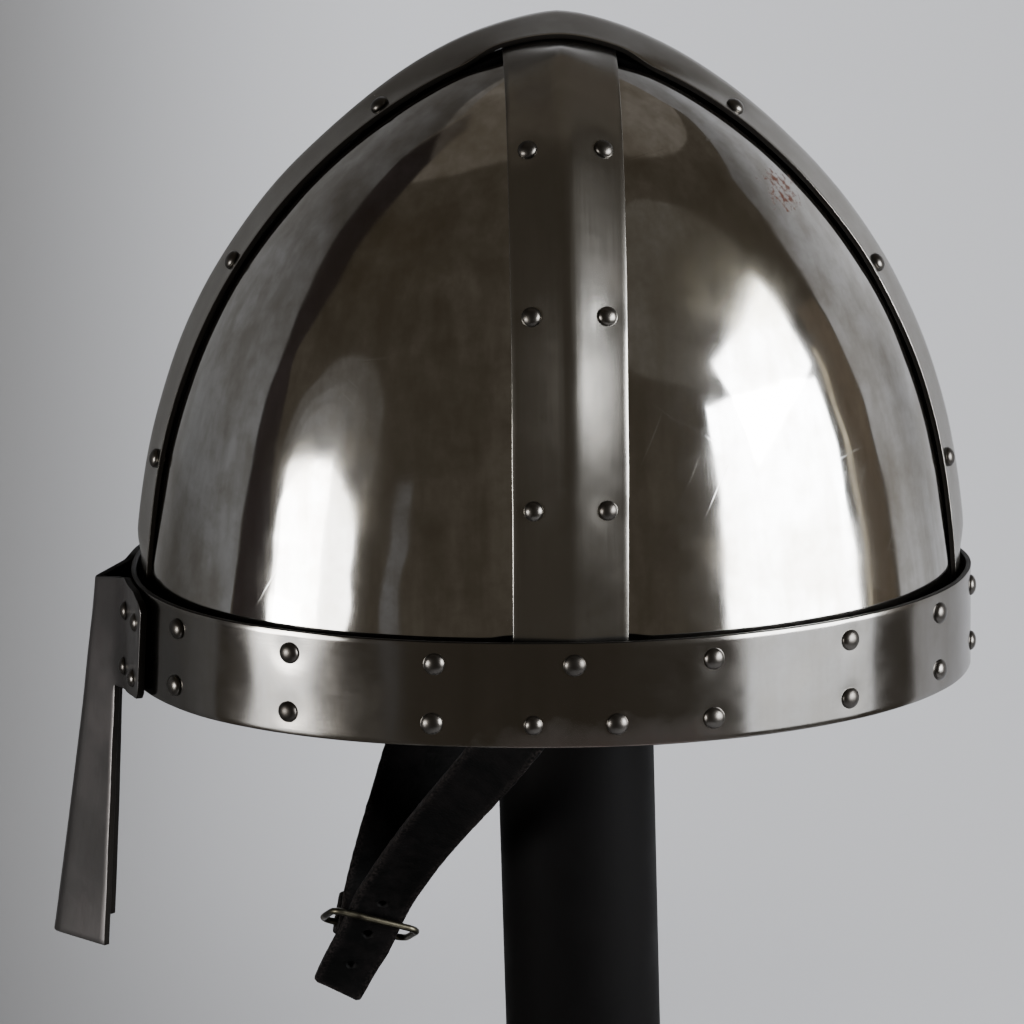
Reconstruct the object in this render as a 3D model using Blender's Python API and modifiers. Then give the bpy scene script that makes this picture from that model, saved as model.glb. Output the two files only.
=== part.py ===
"""Spangenhelm helmet with a fastened chin strap, held up by a plain round post on a disc foot.

The helmet is built level about its own axis and hangs on the post through one empty, which tips it
back a little. In the helmet's frame +X points to the back, -Y to the wearer's left and +Z up, with
the origin on the crown's axis in the plane of the rim.

The crown follows one rule. Its plan is a superellipse, blunter in front than behind, that shrinks
with height. Each sheet is an open surface laid at its own level over that rule and then thickened.
"""
import math

import bmesh
import bpy
from mathutils import Matrix, Vector

# Crown skin: the outer face of the panels
CROWN_FRONT = 0.1123
CROWN_BACK = 0.1100
CROWN_HALF_WIDTH = 0.0877
CROWN_HEIGHT = 0.1738
PLAN_POWER_FRONT = 2.25
PLAN_POWER_BACK = 1.92
RISE_POWER = 2.57
LENGTH_POWER = 1.52
WIDTH_POWER = 2.05

# Sheet metal and the gap kept between neighbours
GAP = 0.0003
FACET_SAG = 0.0002
PANEL_SHEET = 0.0015
STRAP_SHEET = 0.0014
BAND_SHEET = 0.0014
NASAL_SHEET = 0.0020

# Straps: flat strips with a crease along the middle
STRAP_WIDTH = 0.0295
CREASE_HEIGHT = 0.0027
FOOT_HEIGHT = 0.002
CREASE_RISE = 0.010
SIDE_CREASE_START = 0.018
SIDE_CREASE_FADE = 0.024
CROSSING_EASE = 0.016

# Panels: four domed plates whose rims lie under the straps and flare out to the band
PANEL_INSET = 0.0045
PANEL_TOP_SHARE = 0.012
PANEL_HIDDEN = 0.0175
PANEL_HIDDEN_SHARE = 0.2
FLARE_TOP = 0.036
FLARE_FULL = 0.022
FLARE_SIDE_EASE = 0.018
FLARE_CLEARANCE = 0.0006

# Brow band
BAND_HEIGHT = 0.0278
BAND_TAPER = 0.0006
BAND_STANDOFF = 0.0042

# Nasal: a creased bar that widens downwards, with a lug on each side over the band
NASAL_RIDGE_LEAD = 0.0076
NASAL_RIDGE_LEAN = 0.113
NASAL_RIDGE_CURL = 0.272
NASAL_EDGE_LEAD = 0.0004
NASAL_EDGE_LEAN = 0.0535
NASAL_HALF_TOP = 0.0100
NASAL_HALF_BOTTOM = 0.0155
NASAL_DROP = 0.078
LUG_HALF_TOP = 0.0392
LUG_HALF_BOTTOM = 0.0368
LUG_BLEND = 0.0042
LUG_TOP_DROP = 0.0006
LUG_CORNER_DROP = 0.0014
LUG_BOTTOM_DROP = 0.0014
LUG_BOTTOM_SLOPE = 0.0030
NASAL_TOP_DIP = 0.0030

# Rivets
HEAD_RADIUS = 0.0026
HEAD_HEIGHT = 0.0017
SHANK_RADIUS = 0.0012
TAIL_RADIUS = 0.0021
TAIL_HEIGHT = 0.0008
BORE_CLEARANCE = 0.0003
RIVET_SIDES = 8
BORE_SIDES = 6
RIVET_OFFSET = 0.0093
BAND_ROW_UPPER = 0.0219
BAND_ROW_LOWER = 0.0061
TAIL_SLACK = 0.0016

# Heights of the strap rivets, as shares of the crown's height
STRAP_ROWS = {
    "crest": (0.340, 0.649, 0.886),
    "side": (0.351, 0.627, 0.852),
}

# Lug rivets: the row's height, then the distances of the inner and the outer one from the middle
LUG_RIVETS = {
    "upper": (0.0192, 0.0195, 0.0328),
    "lower": (0.0030, 0.0172, 0.0302),
}

# Band rivets on one side, as angles round the band from the back
BAND_RIVETS = {
    "upper": (6.5, 27.2, 48.8, 70.2, 89.5, 105.0, 125.7, 149.6),
    "lower": (6.5, 27.2, 48.8, 70.2, 83.5, 105.3, 125.9, 150.4),
}
CHIN_RIVET_ANGLE = 93.5

# Chin strap: two leather lengths, one holding the buckle and one with punched holes
LEATHER = 0.0022
LEATHER_WIDTH = 0.0163
TIP_WIDTH_SHARE = 0.92
TIP_ACROSS = (0.89, 0.0, -0.46)
TIP_SWAY = 0.0016
LEATHER_TAB = 0.010
CHIN_SLACK = 0.0019
BUCKLE_FORWARD = 0.0525
BUCKLE_DROP = 0.0777
BUCKLE_WIDTH = 0.0270
BUCKLE_SPAN = 0.0140
BUCKLE_WIRE = 0.0019
BUCKLE_CORNER = 0.0030
BUCKLE_PLAY = 0.0006
BUCKLE_ACROSS = (0.943, 0.144, -0.299)
BUCKLE_ALONG = (-0.344, 0.836, -0.428)
FREE_TIP = 0.0182
TIP_DROOP = 0.0015
FOLD_BACK = 0.010
HANG_BOW = 0.012
HOLE_RADIUS = 0.0015
HOLE_PITCH = 0.0130
HOLE_START = 0.0112
HOLE_COUNT = 3

# Stand
HELMET_TILT = math.radians(1.61)
RIM_HEIGHT = 0.200
POST_RADIUS = 0.0219
POST_TOP_RADIUS = 0.0140
POST_TOP_SLOPE = 0.60
POST_SEAT_GAP = 0.0008
BASE_RADIUS = 0.100
BASE_THICKNESS = 0.020
BASE_EDGE = 0.004
SPIGOT_RADIUS = 0.012
SPIGOT_LENGTH = 0.010

# Mesh density
STRAP_STATIONS = 39
STRAP_COLUMNS = 5
PANEL_ROWS = 7
PANEL_COLUMNS = 10
BAND_SEGMENTS = 64
TURNED_SEGMENTS = 32

# Levels over the crown skin
STRAP_LEVEL = GAP + FACET_SAG
CROSSING_LIFT = GAP + STRAP_SHEET
CREASE_AT_FOOT = BAND_STANDOFF - BAND_TAPER - STRAP_SHEET - STRAP_LEVEL - 2 * GAP
BAND_LEVEL = BAND_STANDOFF
LUG_LEVEL = BAND_LEVEL + BAND_SHEET + GAP
CHIN_LEVEL = -(PANEL_SHEET + CHIN_SLACK + LEATHER / 2)


def clear_scene():
    for item in list(bpy.data.objects):
        bpy.data.objects.remove(item, do_unlink=True)


def new_collection(name):
    collection = bpy.data.collections.new(name)
    bpy.context.scene.collection.children.link(collection)
    return collection


def new_material(name, color, roughness, metallic):
    material = bpy.data.materials.new(name)
    material.use_nodes = True
    shader = material.node_tree.nodes["Principled BSDF"]
    shader.inputs["Base Color"].default_value = (*color, 1.0)
    shader.inputs["Roughness"].default_value = roughness
    shader.inputs["Metallic"].default_value = metallic
    return material


def smooth(share):
    """Ease from 0 to 1."""
    share = min(max(share, 0.0), 1.0)
    return share * share * (3.0 - 2.0 * share)


def plan_axes(x, grow=0.0):
    """Half length on this side, half width and plan power, grown by a level."""
    if x < 0.0:
        return CROWN_FRONT + grow, CROWN_HALF_WIDTH + grow, PLAN_POWER_FRONT
    return CROWN_BACK + grow, CROWN_HALF_WIDTH + grow, PLAN_POWER_BACK


def shrink(z):
    """What is left of the plan at a height: 1 at the rim and 0 at the apex."""
    return 1.0 - min(max(z, 0.0) / CROWN_HEIGHT, 1.0) ** RISE_POWER


def outside(point):
    """Below zero inside the crown skin and above zero outside it."""
    left = shrink(point.z)
    length, width, power = plan_axes(point.x)
    along = (abs(point.x) / length) ** power
    across = (abs(point.y) / width) ** power
    ease = left ** (power / LENGTH_POWER - power / WIDTH_POWER)
    return along + across * ease - left ** (power / LENGTH_POWER)


def hit_skin(start, heading):
    """Where a line from inside the crown leaves the skin."""
    near, far = 0.0, 2.0 * CROWN_HEIGHT
    for _ in range(46):
        middle = (near + far) / 2
        if outside(start + heading * middle) < 0.0:
            near = middle
        else:
            far = middle
    return start + heading * near


def strap_skin(run, angle, offset):
    """Skin under a strap: run is crest or side, the angle turns over the crown from one foot."""
    if run == "crest":
        return hit_skin(Vector((0, offset, 0)), Vector((-math.cos(angle), 0, math.sin(angle))))
    return hit_skin(Vector((offset, 0, 0)), Vector((0, -math.cos(angle), math.sin(angle))))


def normal_of(surface, u, v, step_u, step_v):
    """Outward normal of a surface given as a function of two numbers."""
    along = surface(u + step_u, v) - surface(u - step_u, v)
    across = surface(u, v + step_v) - surface(u, v - step_v)
    normal = along.cross(across).normalized()
    if normal.dot(surface(u, v)) < 0.0:
        normal.negate()
    return normal


def crease_height(run, point):
    """Height of a strap's crease: lower under the band, and flat where straps cross."""
    grown = smooth((point.z - BAND_HEIGHT) / CREASE_RISE)
    height = CREASE_AT_FOOT + (CREASE_HEIGHT - CREASE_AT_FOOT) * grown
    if run == "side":
        height *= smooth((abs(point.y) - SIDE_CREASE_START) / SIDE_CREASE_FADE)
    return height


def strap_level(run, point, offset):
    """Level of a strap's underside: it rises to the crease and over the strap that it crosses."""
    half = STRAP_WIDTH / 2
    level = STRAP_LEVEL + crease_height(run, point) * (1.0 - abs(offset) / half)
    if run == "crest":
        level += CROSSING_LIFT * smooth((half + CROSSING_EASE - abs(point.x)) / (CROSSING_EASE * 0.8))
    return level


def strap_underside(run, angle, offset):
    point = strap_skin(run, angle, offset)
    normal = normal_of(lambda a, b: strap_skin(run, a, b), angle, offset, 0.004, 0.0002)
    return point + normal * strap_level(run, point, offset)


def strap_angles():
    """Angles of the stations, closer together over the apex."""
    foot = math.atan2(FOOT_HEIGHT, CROWN_HALF_WIDTH)
    for index in range(STRAP_STATIONS):
        share = 2.0 * index / (STRAP_STATIONS - 1) - 1.0
        yield math.pi / 2 + (math.pi / 2 - foot) * (0.6 * share + 0.4 * share ** 3)


def mesh_from_rows(name, rows, closed=False, keep=None, centre=Vector((0, 0, 0))):
    """Open surface through rows of points, its faces turned away from a centre."""
    mesh = bmesh.new()
    grid = [[mesh.verts.new(point) for point in row] for row in rows]
    count = len(rows[0])
    for i in range(len(rows) - 1):
        for j in range(count if closed else count - 1):
            if keep is None or keep(i, j):
                k = (j + 1) % count
                mesh.faces.new((grid[i][j], grid[i + 1][j], grid[i + 1][k], grid[i][k]))
    bmesh.ops.delete(mesh, geom=[v for v in mesh.verts if not v.link_faces], context="VERTS")
    mesh.normal_update()
    turned = sum(f.normal.dot(f.calc_center_median() - centre) * f.calc_area() for f in mesh.faces)
    if turned < 0.0:
        bmesh.ops.reverse_faces(mesh, faces=mesh.faces)
    data = bpy.data.meshes.new(name)
    mesh.to_mesh(data)
    mesh.free()
    data.shade_smooth()
    return data


def place(name, data, collection, material, parent=None, matrix=None):
    part = bpy.data.objects.new(name, data)
    part.data.materials.append(material)
    collection.objects.link(part)
    part.parent = parent
    if matrix is not None:
        part.matrix_local = matrix
    return part


def thicken(part, sheet, side):
    """Give an open surface its thickness: side 1 outwards, -1 inwards, 0 both ways."""
    wall = part.modifiers.new("wall", "SOLIDIFY")
    wall.thickness = sheet
    wall.offset = side
    wall.use_even_offset = True


def boolean(part, other, operation):
    step = part.modifiers.new(operation.lower(), "BOOLEAN")
    step.object = other
    step.operation = operation
    step.solver = "EXACT"


def make_strap(run, kit, material):
    half = STRAP_WIDTH / 2
    offsets = [half * (2.0 * j / (STRAP_COLUMNS - 1) - 1.0) for j in range(STRAP_COLUMNS)]
    rows = [[strap_underside(run, angle, offset) for offset in offsets] for angle in strap_angles()]
    data = mesh_from_rows(run + "_strap", rows)
    part = place(run + "_strap", data, kit["parts"], material, kit["seat"])
    thicken(part, STRAP_SHEET, 1.0)
    return part


def plan_point(angle, left, front, right, grow=0.0):
    """Point of the plan in one quarter, at an angle from the length to the width."""
    length, width, power = plan_axes(-1.0 if front else 1.0, grow)
    x = length * left ** (1 / LENGTH_POWER) * math.cos(angle) ** (2 / power)
    y = width * left ** (1 / WIDTH_POWER) * math.sin(angle) ** (2 / power)
    return Vector((-x if front else x, y if right else -y, 0))


def panel_angles(left, front):
    """Angles at which a panel's rim runs along the two straps at this height."""
    length, width, power = plan_axes(-1.0 if front else 1.0)
    across = PANEL_INSET / (width * left ** (1 / WIDTH_POWER))
    along = PANEL_INSET / (length * left ** (1 / LENGTH_POWER))
    return math.asin(across ** (power / 2)), math.acos(along ** (power / 2))


def panel_columns(left, front):
    """Angles of a row's columns: one under each strap's edge and the rest spread evenly."""
    length, width, power = plan_axes(-1.0 if front else 1.0)
    first, last = panel_angles(left, front)
    span = (last - first) * PANEL_HIDDEN_SHARE
    across = min(PANEL_HIDDEN / (width * left ** (1 / WIDTH_POWER)), 1.0)
    along = min(PANEL_HIDDEN / (length * left ** (1 / LENGTH_POWER)), 1.0)
    second = min(math.asin(across ** (power / 2)), first + span)
    before_last = max(math.acos(along ** (power / 2)), last - span)
    inner = PANEL_COLUMNS - 3
    middle = [second + (before_last - second) * index / inner for index in range(inner + 1)]
    return [first] + middle + [last]


def panel_heights():
    """Heights of the panel's rows: the flared foot first, then even steps of slope."""
    heights = [FOOT_HEIGHT, FLARE_FULL * 0.6, FLARE_FULL, (FLARE_FULL + FLARE_TOP) / 2]
    low = math.asin((FLARE_TOP / CROWN_HEIGHT) ** (RISE_POWER / 2))
    high = math.acos(math.sqrt(PANEL_TOP_SHARE))
    for index in range(PANEL_ROWS):
        slope = low + (high - low) * index / (PANEL_ROWS - 1)
        heights.append(CROWN_HEIGHT * math.sin(slope) ** (2 / RISE_POWER))
    return heights


def flare(point):
    """How far a panel's foot leans out to the band, clear of the straps and the nasal's rivets."""
    rise = smooth((FLARE_TOP - point.z) / (FLARE_TOP - FLARE_FULL))
    off_side = smooth((abs(point.x) - PANEL_HIDDEN) / FLARE_SIDE_EASE)
    off_crest = smooth((abs(point.y) - LUG_HALF_TOP) / FLARE_SIDE_EASE)
    return (BAND_LEVEL - BAND_TAPER - FLARE_CLEARANCE) * rise * off_side * off_crest


def make_panel(name, front, right, kit, material):
    rows = []
    for height in panel_heights():
        left = shrink(height)
        row = []
        for angle in panel_columns(left, front):
            skin = plan_point(angle, left, front, right)
            skin.z = height
            outer = plan_point(angle, left, front, right, flare(skin))
            row.append(Vector((outer.x, outer.y, height)))
        rows.append(row)
    data = mesh_from_rows(name, rows)
    part = place(name, data, kit["parts"], material, kit["seat"])
    thicken(part, PANEL_SHEET, -1.0)
    return part


def band_grow(z, level):
    """Growth of the plan for a face of the band, which leans in a little towards its top."""
    return level - BAND_TAPER * min(max(z / BAND_HEIGHT, 0.0), 1.0)


def round_plan(angle, grow):
    """Point of the grown rim plan, with the angle counted from the back over the wearer's left."""
    front = math.cos(angle) < 0.0
    length, width, power = plan_axes(-1.0 if front else 1.0, grow)
    x = length * abs(math.cos(angle)) ** (2 / power)
    y = width * abs(math.sin(angle)) ** (2 / power)
    return Vector((-x if front else x, -y if math.sin(angle) > 0 else y, 0))


def band_point(angle, z, level):
    point = round_plan(angle, band_grow(z, level))
    point.z = z
    return point


def even_plan_angles(count):
    """Angles of points that lie at nearly even steps round the rim."""
    samples = [round_plan(2 * math.pi * k / 720, BAND_LEVEL) for k in range(721)]
    travelled = [0.0]
    for first, second in zip(samples, samples[1:]):
        travelled.append(travelled[-1] + (second - first).length)
    angles = []
    spot = 0
    for index in range(count):
        goal = travelled[-1] * index / count
        while travelled[spot + 1] < goal:
            spot += 1
        share = (goal - travelled[spot]) / (travelled[spot + 1] - travelled[spot])
        angles.append(2 * math.pi * (spot + share) / 720)
    return angles


def seat_on(point, normal):
    """Matrix of a rivet whose head's flat side lies at a point, facing along the normal."""
    turn = Vector((0, 0, 1)).rotation_difference(normal).to_matrix().to_4x4()
    return Matrix.Translation(point) @ turn


def dome_profile(radius, height):
    """Points of a rivet head from its crown down to its edge."""
    return [(0.0, height), (radius * 0.66, height * 0.72), (radius, 0.0)]


def band_rivet_matrices():
    matrices = []
    for row, z in (("upper", BAND_ROW_UPPER), ("lower", BAND_ROW_LOWER)):
        for degrees in BAND_RIVETS[row]:
            for angle in (math.radians(degrees), -math.radians(degrees)):
                level = BAND_LEVEL + BAND_SHEET
                point = band_point(angle, z, level)
                normal = normal_of(lambda a, b: band_point(a, b, level), angle, z, 0.01, 0.001)
                matrices.append(seat_on(point, normal))
    return matrices


def make_band_heads(kit, material):
    """The heads of the band's rivets as one mesh of domes, sunk a little into the band."""
    mesh = bmesh.new()
    sink = 0.0004
    for matrix in band_rivet_matrices():
        rings = []
        for radius, height in dome_profile(HEAD_RADIUS, HEAD_HEIGHT)[1:-1] + [(HEAD_RADIUS, -sink)]:
            ring = []
            for k in range(RIVET_SIDES):
                turn = 2 * math.pi * k / RIVET_SIDES
                spot = Vector((radius * math.cos(turn), radius * math.sin(turn), height))
                ring.append(mesh.verts.new(matrix @ spot))
            rings.append(ring)
        top = mesh.verts.new(matrix @ Vector((0, 0, HEAD_HEIGHT)))
        for k in range(RIVET_SIDES):
            n = (k + 1) % RIVET_SIDES
            mesh.faces.new((top, rings[0][k], rings[0][n]))
            for upper, lower in zip(rings, rings[1:]):
                mesh.faces.new((upper[k], lower[k], lower[n], upper[n]))
        mesh.faces.new(list(reversed(rings[-1])))
    data = bpy.data.meshes.new("band_rivet_heads")
    mesh.to_mesh(data)
    mesh.free()
    return place_tool("band_rivet_heads", data, kit, material)


def place_tool(name, data, kit, material):
    tool = place(name, data, kit["tools"], material, kit["seat"])
    tool.hide_render = True
    tool.display_type = "WIRE"
    return tool


def make_band(kit, material):
    angles = even_plan_angles(BAND_SEGMENTS)
    rows = [[band_point(angle, z, BAND_LEVEL) for angle in angles] for z in (0.0, BAND_HEIGHT)]
    data = mesh_from_rows("brow_band", rows, closed=True)
    part = place("brow_band", data, kit["parts"], material, kit["seat"])
    thicken(part, BAND_SHEET, 1.0)
    boolean(part, make_band_heads(kit, material), "UNION")
    return part


def lug_point(y, z, level=LUG_LEVEL + NASAL_SHEET):
    """Point of the nasal's outer face over the band."""
    grow = band_grow(z, level)
    length, width, power = plan_axes(-1.0, grow)
    x = -length * (1.0 - (abs(y) / width) ** power) ** (1 / power)
    return Vector((x, y, z))


def nasal_half(z):
    """Half width of the bar, which grows below the band."""
    return NASAL_HALF_TOP + (NASAL_HALF_BOTTOM - NASAL_HALF_TOP) * smooth(-z / NASAL_DROP) ** 0.7


def nasal_rows():
    """Rows of the nasal from its top edge to its tip, and which of them hold the lugs."""
    top = BAND_HEIGHT - LUG_TOP_DROP
    bottom = -LUG_BOTTOM_DROP
    upper, lower = LUG_RIVETS["upper"][0], LUG_RIVETS["lower"][0]
    lug_rows = [top, upper, (upper + lower) / 2, lower, bottom]
    bar_rows = [bottom - (NASAL_DROP + bottom) * share for share in (0.2, 0.4, 0.6, 0.8, 1.0)]
    face = CROWN_FRONT + LUG_LEVEL + NASAL_SHEET
    blend = NASAL_HALF_TOP + LUG_BLEND
    rows = []
    for z in lug_rows + bar_rows:
        down = BAND_HEIGHT - z
        half = nasal_half(z)
        dip = NASAL_TOP_DIP if z == top else 0.0
        ridge_x = -face - NASAL_RIDGE_LEAD - down * NASAL_RIDGE_LEAN - down ** 2 * NASAL_RIDGE_CURL
        edge_x = -face - NASAL_EDGE_LEAD - down * NASAL_EDGE_LEAN
        bar = [Vector((edge_x, -half, z - dip * 0.3)), Vector((ridge_x, 0, z - dip)),
               Vector((edge_x, half, z - dip * 0.3))]
        reach = LUG_HALF_BOTTOM + (LUG_HALF_TOP - LUG_HALF_BOTTOM) * max(z / BAND_HEIGHT, 0.0)
        left, right = [], []
        for share in (0.0, 0.33, 0.67, 1.0):
            drop = LUG_BOTTOM_SLOPE * (1.0 - share) if z == bottom else 0.0
            drop += LUG_CORNER_DROP if z == top and share == 1.0 else 0.0
            spot = lug_point(blend + (reach - blend) * share, z - drop)
            right.append(spot)
            left.insert(0, Vector((spot.x, -spot.y, spot.z)))
        rows.append(left + bar + right)
    return rows, len(lug_rows), len(right)


def make_nasal(kit, material):
    rows, lug_count, wing = nasal_rows()
    data = mesh_from_rows("nasal", rows, centre=Vector((0, 0, rows[-1][wing + 1].z / 2)),
                          keep=lambda i, j: i < lug_count - 1 or wing <= j < wing + 2)
    part = place("nasal", data, kit["parts"], material, kit["seat"])
    thicken(part, NASAL_SHEET, -1.0)
    return part


def rivet_mesh(name, grip):
    """Half profile of a rivet for the Screw modifier: head, shank and closed-over tail."""
    tail = -grip - 2 * GAP
    outline = dome_profile(HEAD_RADIUS, HEAD_HEIGHT)
    outline += [(SHANK_RADIUS, 0.0), (SHANK_RADIUS, tail), (TAIL_RADIUS, tail), (0.0, tail - TAIL_HEIGHT)]
    return profile_mesh(name, outline)


def profile_mesh(name, outline):
    data = bpy.data.meshes.new(name)
    points = [(radius, 0.0, height) for radius, height in outline]
    data.from_pydata(points, [(k, k + 1) for k in range(len(points) - 1)], [])
    return data


def turn_profile(part, segments):
    """Turn a half profile about its own Z axis."""
    screw = part.modifiers.new("turned", "SCREW")
    screw.axis = "Z"
    screw.steps = segments
    screw.render_steps = segments
    screw.use_merge_vertices = True
    screw.merge_threshold = 0.00001
    screw.use_smooth_shade = True


def strap_rivet_angle(run, height, offset):
    """Angle over the crown at which a strap reaches a height."""
    low, high = 0.0, math.pi / 2
    for _ in range(40):
        middle = (low + high) / 2
        if strap_skin(run, middle, offset).z < height:
            low = middle
        else:
            high = middle
    return low


def strap_rivets(run):
    """Names and matrices of the rivets along one strap, two abreast on both slopes."""
    found = []
    for share in STRAP_ROWS[run]:
        for offset in (-RIVET_OFFSET, RIVET_OFFSET):
            angle = strap_rivet_angle(run, share * CROWN_HEIGHT, offset)
            for turned in (angle, math.pi - angle):
                point = strap_underside(run, turned, offset)
                normal = normal_of(lambda a, b: strap_underside(run, a, b), turned, offset, 0.02, 0.002)
                found.append(seat_on(point + normal * (STRAP_SHEET + GAP), normal))
    return [(f"{run}_rivet_{k + 1:02d}", matrix) for k, matrix in enumerate(found)]


def nasal_rivets():
    found = []
    for z, inner, outer in LUG_RIVETS.values():
        for y in (-outer, -inner, inner, outer):
            normal = normal_of(lug_point, y, z, 0.003, 0.001)
            found.append(seat_on(lug_point(y, z) + normal * GAP, normal))
    return [(f"nasal_rivet_{k + 1:02d}", matrix) for k, matrix in enumerate(found)]


def chin_rivet(side):
    """Matrix of the rivet that holds a chin strap: side is -1 on the wearer's left."""
    angle = math.radians(CHIN_RIVET_ANGLE) * -side
    level = BAND_LEVEL + BAND_SHEET
    point = band_point(angle, BAND_ROW_LOWER, level)
    normal = Vector((0, side, 0))
    return seat_on(point + normal * GAP, normal)


def chin_grip():
    """Length gripped by a chin rivet, from the band's outer face to the leather's inner face."""
    return BAND_LEVEL + BAND_SHEET + PANEL_SHEET + CHIN_SLACK + LEATHER


def make_rivets(kit, material):
    hollow = CREASE_HEIGHT * (1 - 2 * RIVET_OFFSET / STRAP_WIDTH)
    strap_grip = STRAP_SHEET + STRAP_LEVEL + hollow + PANEL_SHEET + TAIL_SLACK
    nasal_grip = NASAL_SHEET + BAND_SHEET + GAP + TAIL_SLACK / 2
    families = [
        (strap_rivets("crest") + strap_rivets("side"), strap_grip),
        (nasal_rivets(), nasal_grip),
        ([("chin_rivet_left", chin_rivet(-1)), ("chin_rivet_right", chin_rivet(1))], chin_grip()),
    ]
    for rivets, grip in families:
        data = rivet_mesh(rivets[0][0].rsplit("_", 1)[0], grip)
        for name, matrix in rivets:
            part = bpy.data.objects.new(name, data)
            kit["parts"].objects.link(part)
            part.parent = kit["seat"]
            part.matrix_local = matrix
            turn_profile(part, RIVET_SIDES)
        data.materials.append(material)
    return [(matrix, grip) for rivets, grip in families for _, matrix in rivets]


def make_bores(rivets, kit, material):
    """One cutter with a prism for each shank."""
    mesh = bmesh.new()
    radius = (SHANK_RADIUS + BORE_CLEARANCE) / math.cos(math.pi / BORE_SIDES)
    reach = 0.004
    for matrix, grip in rivets:
        depth = grip + 2 * reach
        middle = Matrix.Translation((0, 0, reach / 2 - depth / 2))
        bmesh.ops.create_cone(mesh, cap_ends=True, segments=BORE_SIDES, radius1=radius, radius2=radius,
                              depth=depth, matrix=matrix @ middle)
    data = bpy.data.meshes.new("shank_bores")
    mesh.to_mesh(data)
    mesh.free()
    return place_tool("shank_bores", data, kit, material)


def buckle_frame():
    """Axes and bars of the buckle: across the strap, along it, its normal and the two bars' middles."""
    across = Vector(BUCKLE_ACROSS).normalized()
    along = Vector(BUCKLE_ALONG)
    along = (along - across * along.dot(across)).normalized()
    normal = across.cross(along)
    centre = Vector((-BUCKLE_FORWARD, 0, -BUCKLE_DROP))
    front_bar = centre - along * BUCKLE_SPAN / 2
    rear_bar = centre + along * BUCKLE_SPAN / 2
    return across, along, normal, front_bar, rear_bar


def leather_offsets():
    """Distance of the leather's middle from the front bar, and from the rear bar over the other length."""
    front = BUCKLE_WIRE / 2 + BUCKLE_PLAY + LEATHER / 2
    return front, front + LEATHER + GAP


def hermite(start, start_pull, end, end_pull, count):
    """Points of a smooth curve between two places with given pulls, without its last point."""
    points = []
    for index in range(count):
        t = index / count
        a = 2 * t ** 3 - 3 * t ** 2 + 1
        b = t ** 3 - 2 * t ** 2 + t
        c = -2 * t ** 3 + 3 * t ** 2
        d = t ** 3 - t ** 2
        points.append(start * a + start_pull * b + end * c + end_pull * d)
    return points


def chin_anchor(side):
    """Middle of the leather at its rivet, and the way in which it leaves the helmet."""
    spot = chin_rivet(side).translation
    anchor = Vector((spot.x, side * (CROWN_HALF_WIDTH + CHIN_LEVEL), spot.z))
    return anchor, Vector((-0.62, 0, -0.78))


def strap_left_path():
    """Middle line of the free length: rivet, fall to the buckle, between its bars, and tip."""
    across, along, normal, front_bar, rear_bar = buckle_frame()
    front, rear = leather_offsets()
    swing = math.asin((front + rear) / BUCKLE_SPAN)
    heading = along * math.cos(swing) - normal * math.sin(swing)
    facing = along * math.sin(swing) + normal * math.cos(swing)
    entry = front_bar + facing * front
    leave = rear_bar - facing * rear
    anchor, fall = chin_anchor(-1)
    below = anchor + fall * LEATHER_TAB
    points = [anchor - fall * LEATHER_TAB, anchor]
    points += hermite(below, fall * 0.035, entry - heading * 0.004, heading * 0.06, 9)
    tip = leave + heading * FREE_TIP - Vector((TIP_SWAY, 0, TIP_DROOP))
    points += [entry - heading * 0.004, entry, leave, (leave + tip) / 2 + Vector((0, 0, TIP_DROOP / 4)), tip]
    return points, Vector((0.78, 0, -0.62)), across, Vector(TIP_ACROSS) * TIP_WIDTH_SHARE


def strap_right_path():
    """Middle line of the buckle's length: fold round the rear bar, hanging bow, and rivet."""
    across, along, normal, front_bar, rear_bar = buckle_frame()
    wrap = leather_offsets()[0]
    points = [rear_bar + along * wrap + normal * FOLD_BACK]
    for index in range(9):
        turn = math.pi * index / 8
        points.append(rear_bar + along * wrap * math.cos(turn) - normal * wrap * math.sin(turn))
    start = rear_bar - along * wrap + normal * FOLD_BACK
    anchor, fall = chin_anchor(1)
    below = anchor + fall * LEATHER_TAB
    rise = (below - start).length
    lift = normal * rise * 0.5 + Vector((0, 0.3, -0.2)) * HANG_BOW
    points += hermite(start, lift, below, -fall * rise * 0.6, 9)
    points += [below, anchor, anchor - fall * LEATHER_TAB]
    return points, across, Vector((0.78, 0, -0.62))


def ribbon_rows(points, first_width, last_width, tip=None):
    """Edge points of a ribbon along a path: its width turns from one direction to the other, then
    to the tip's own direction and size."""
    travelled = [0.0]
    for first, second in zip(points, points[1:]):
        travelled.append(travelled[-1] + (second - first).length)
    rows = []
    for index, point in enumerate(points):
        ahead = points[min(index + 1, len(points) - 1)] - points[max(index - 1, 0)]
        heading = ahead.normalized()
        share = smooth(travelled[index] / travelled[-1] * 1.3)
        width = first_width.lerp(last_width, share)
        width = (width - heading * width.dot(heading)).normalized()
        if tip is not None:
            width = width.lerp(tip, smooth((travelled[index] - travelled[-1]) / FREE_TIP + 1.0))
        width *= LEATHER_WIDTH / 2
        rows.append([point - width, point + width])
    return rows


def make_chin_strap(name, path, kit, material):
    data = mesh_from_rows(name, ribbon_rows(*path))
    part = place(name, data, kit["parts"], material, kit["seat"])
    thicken(part, LEATHER, 0.0)
    return part


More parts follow.
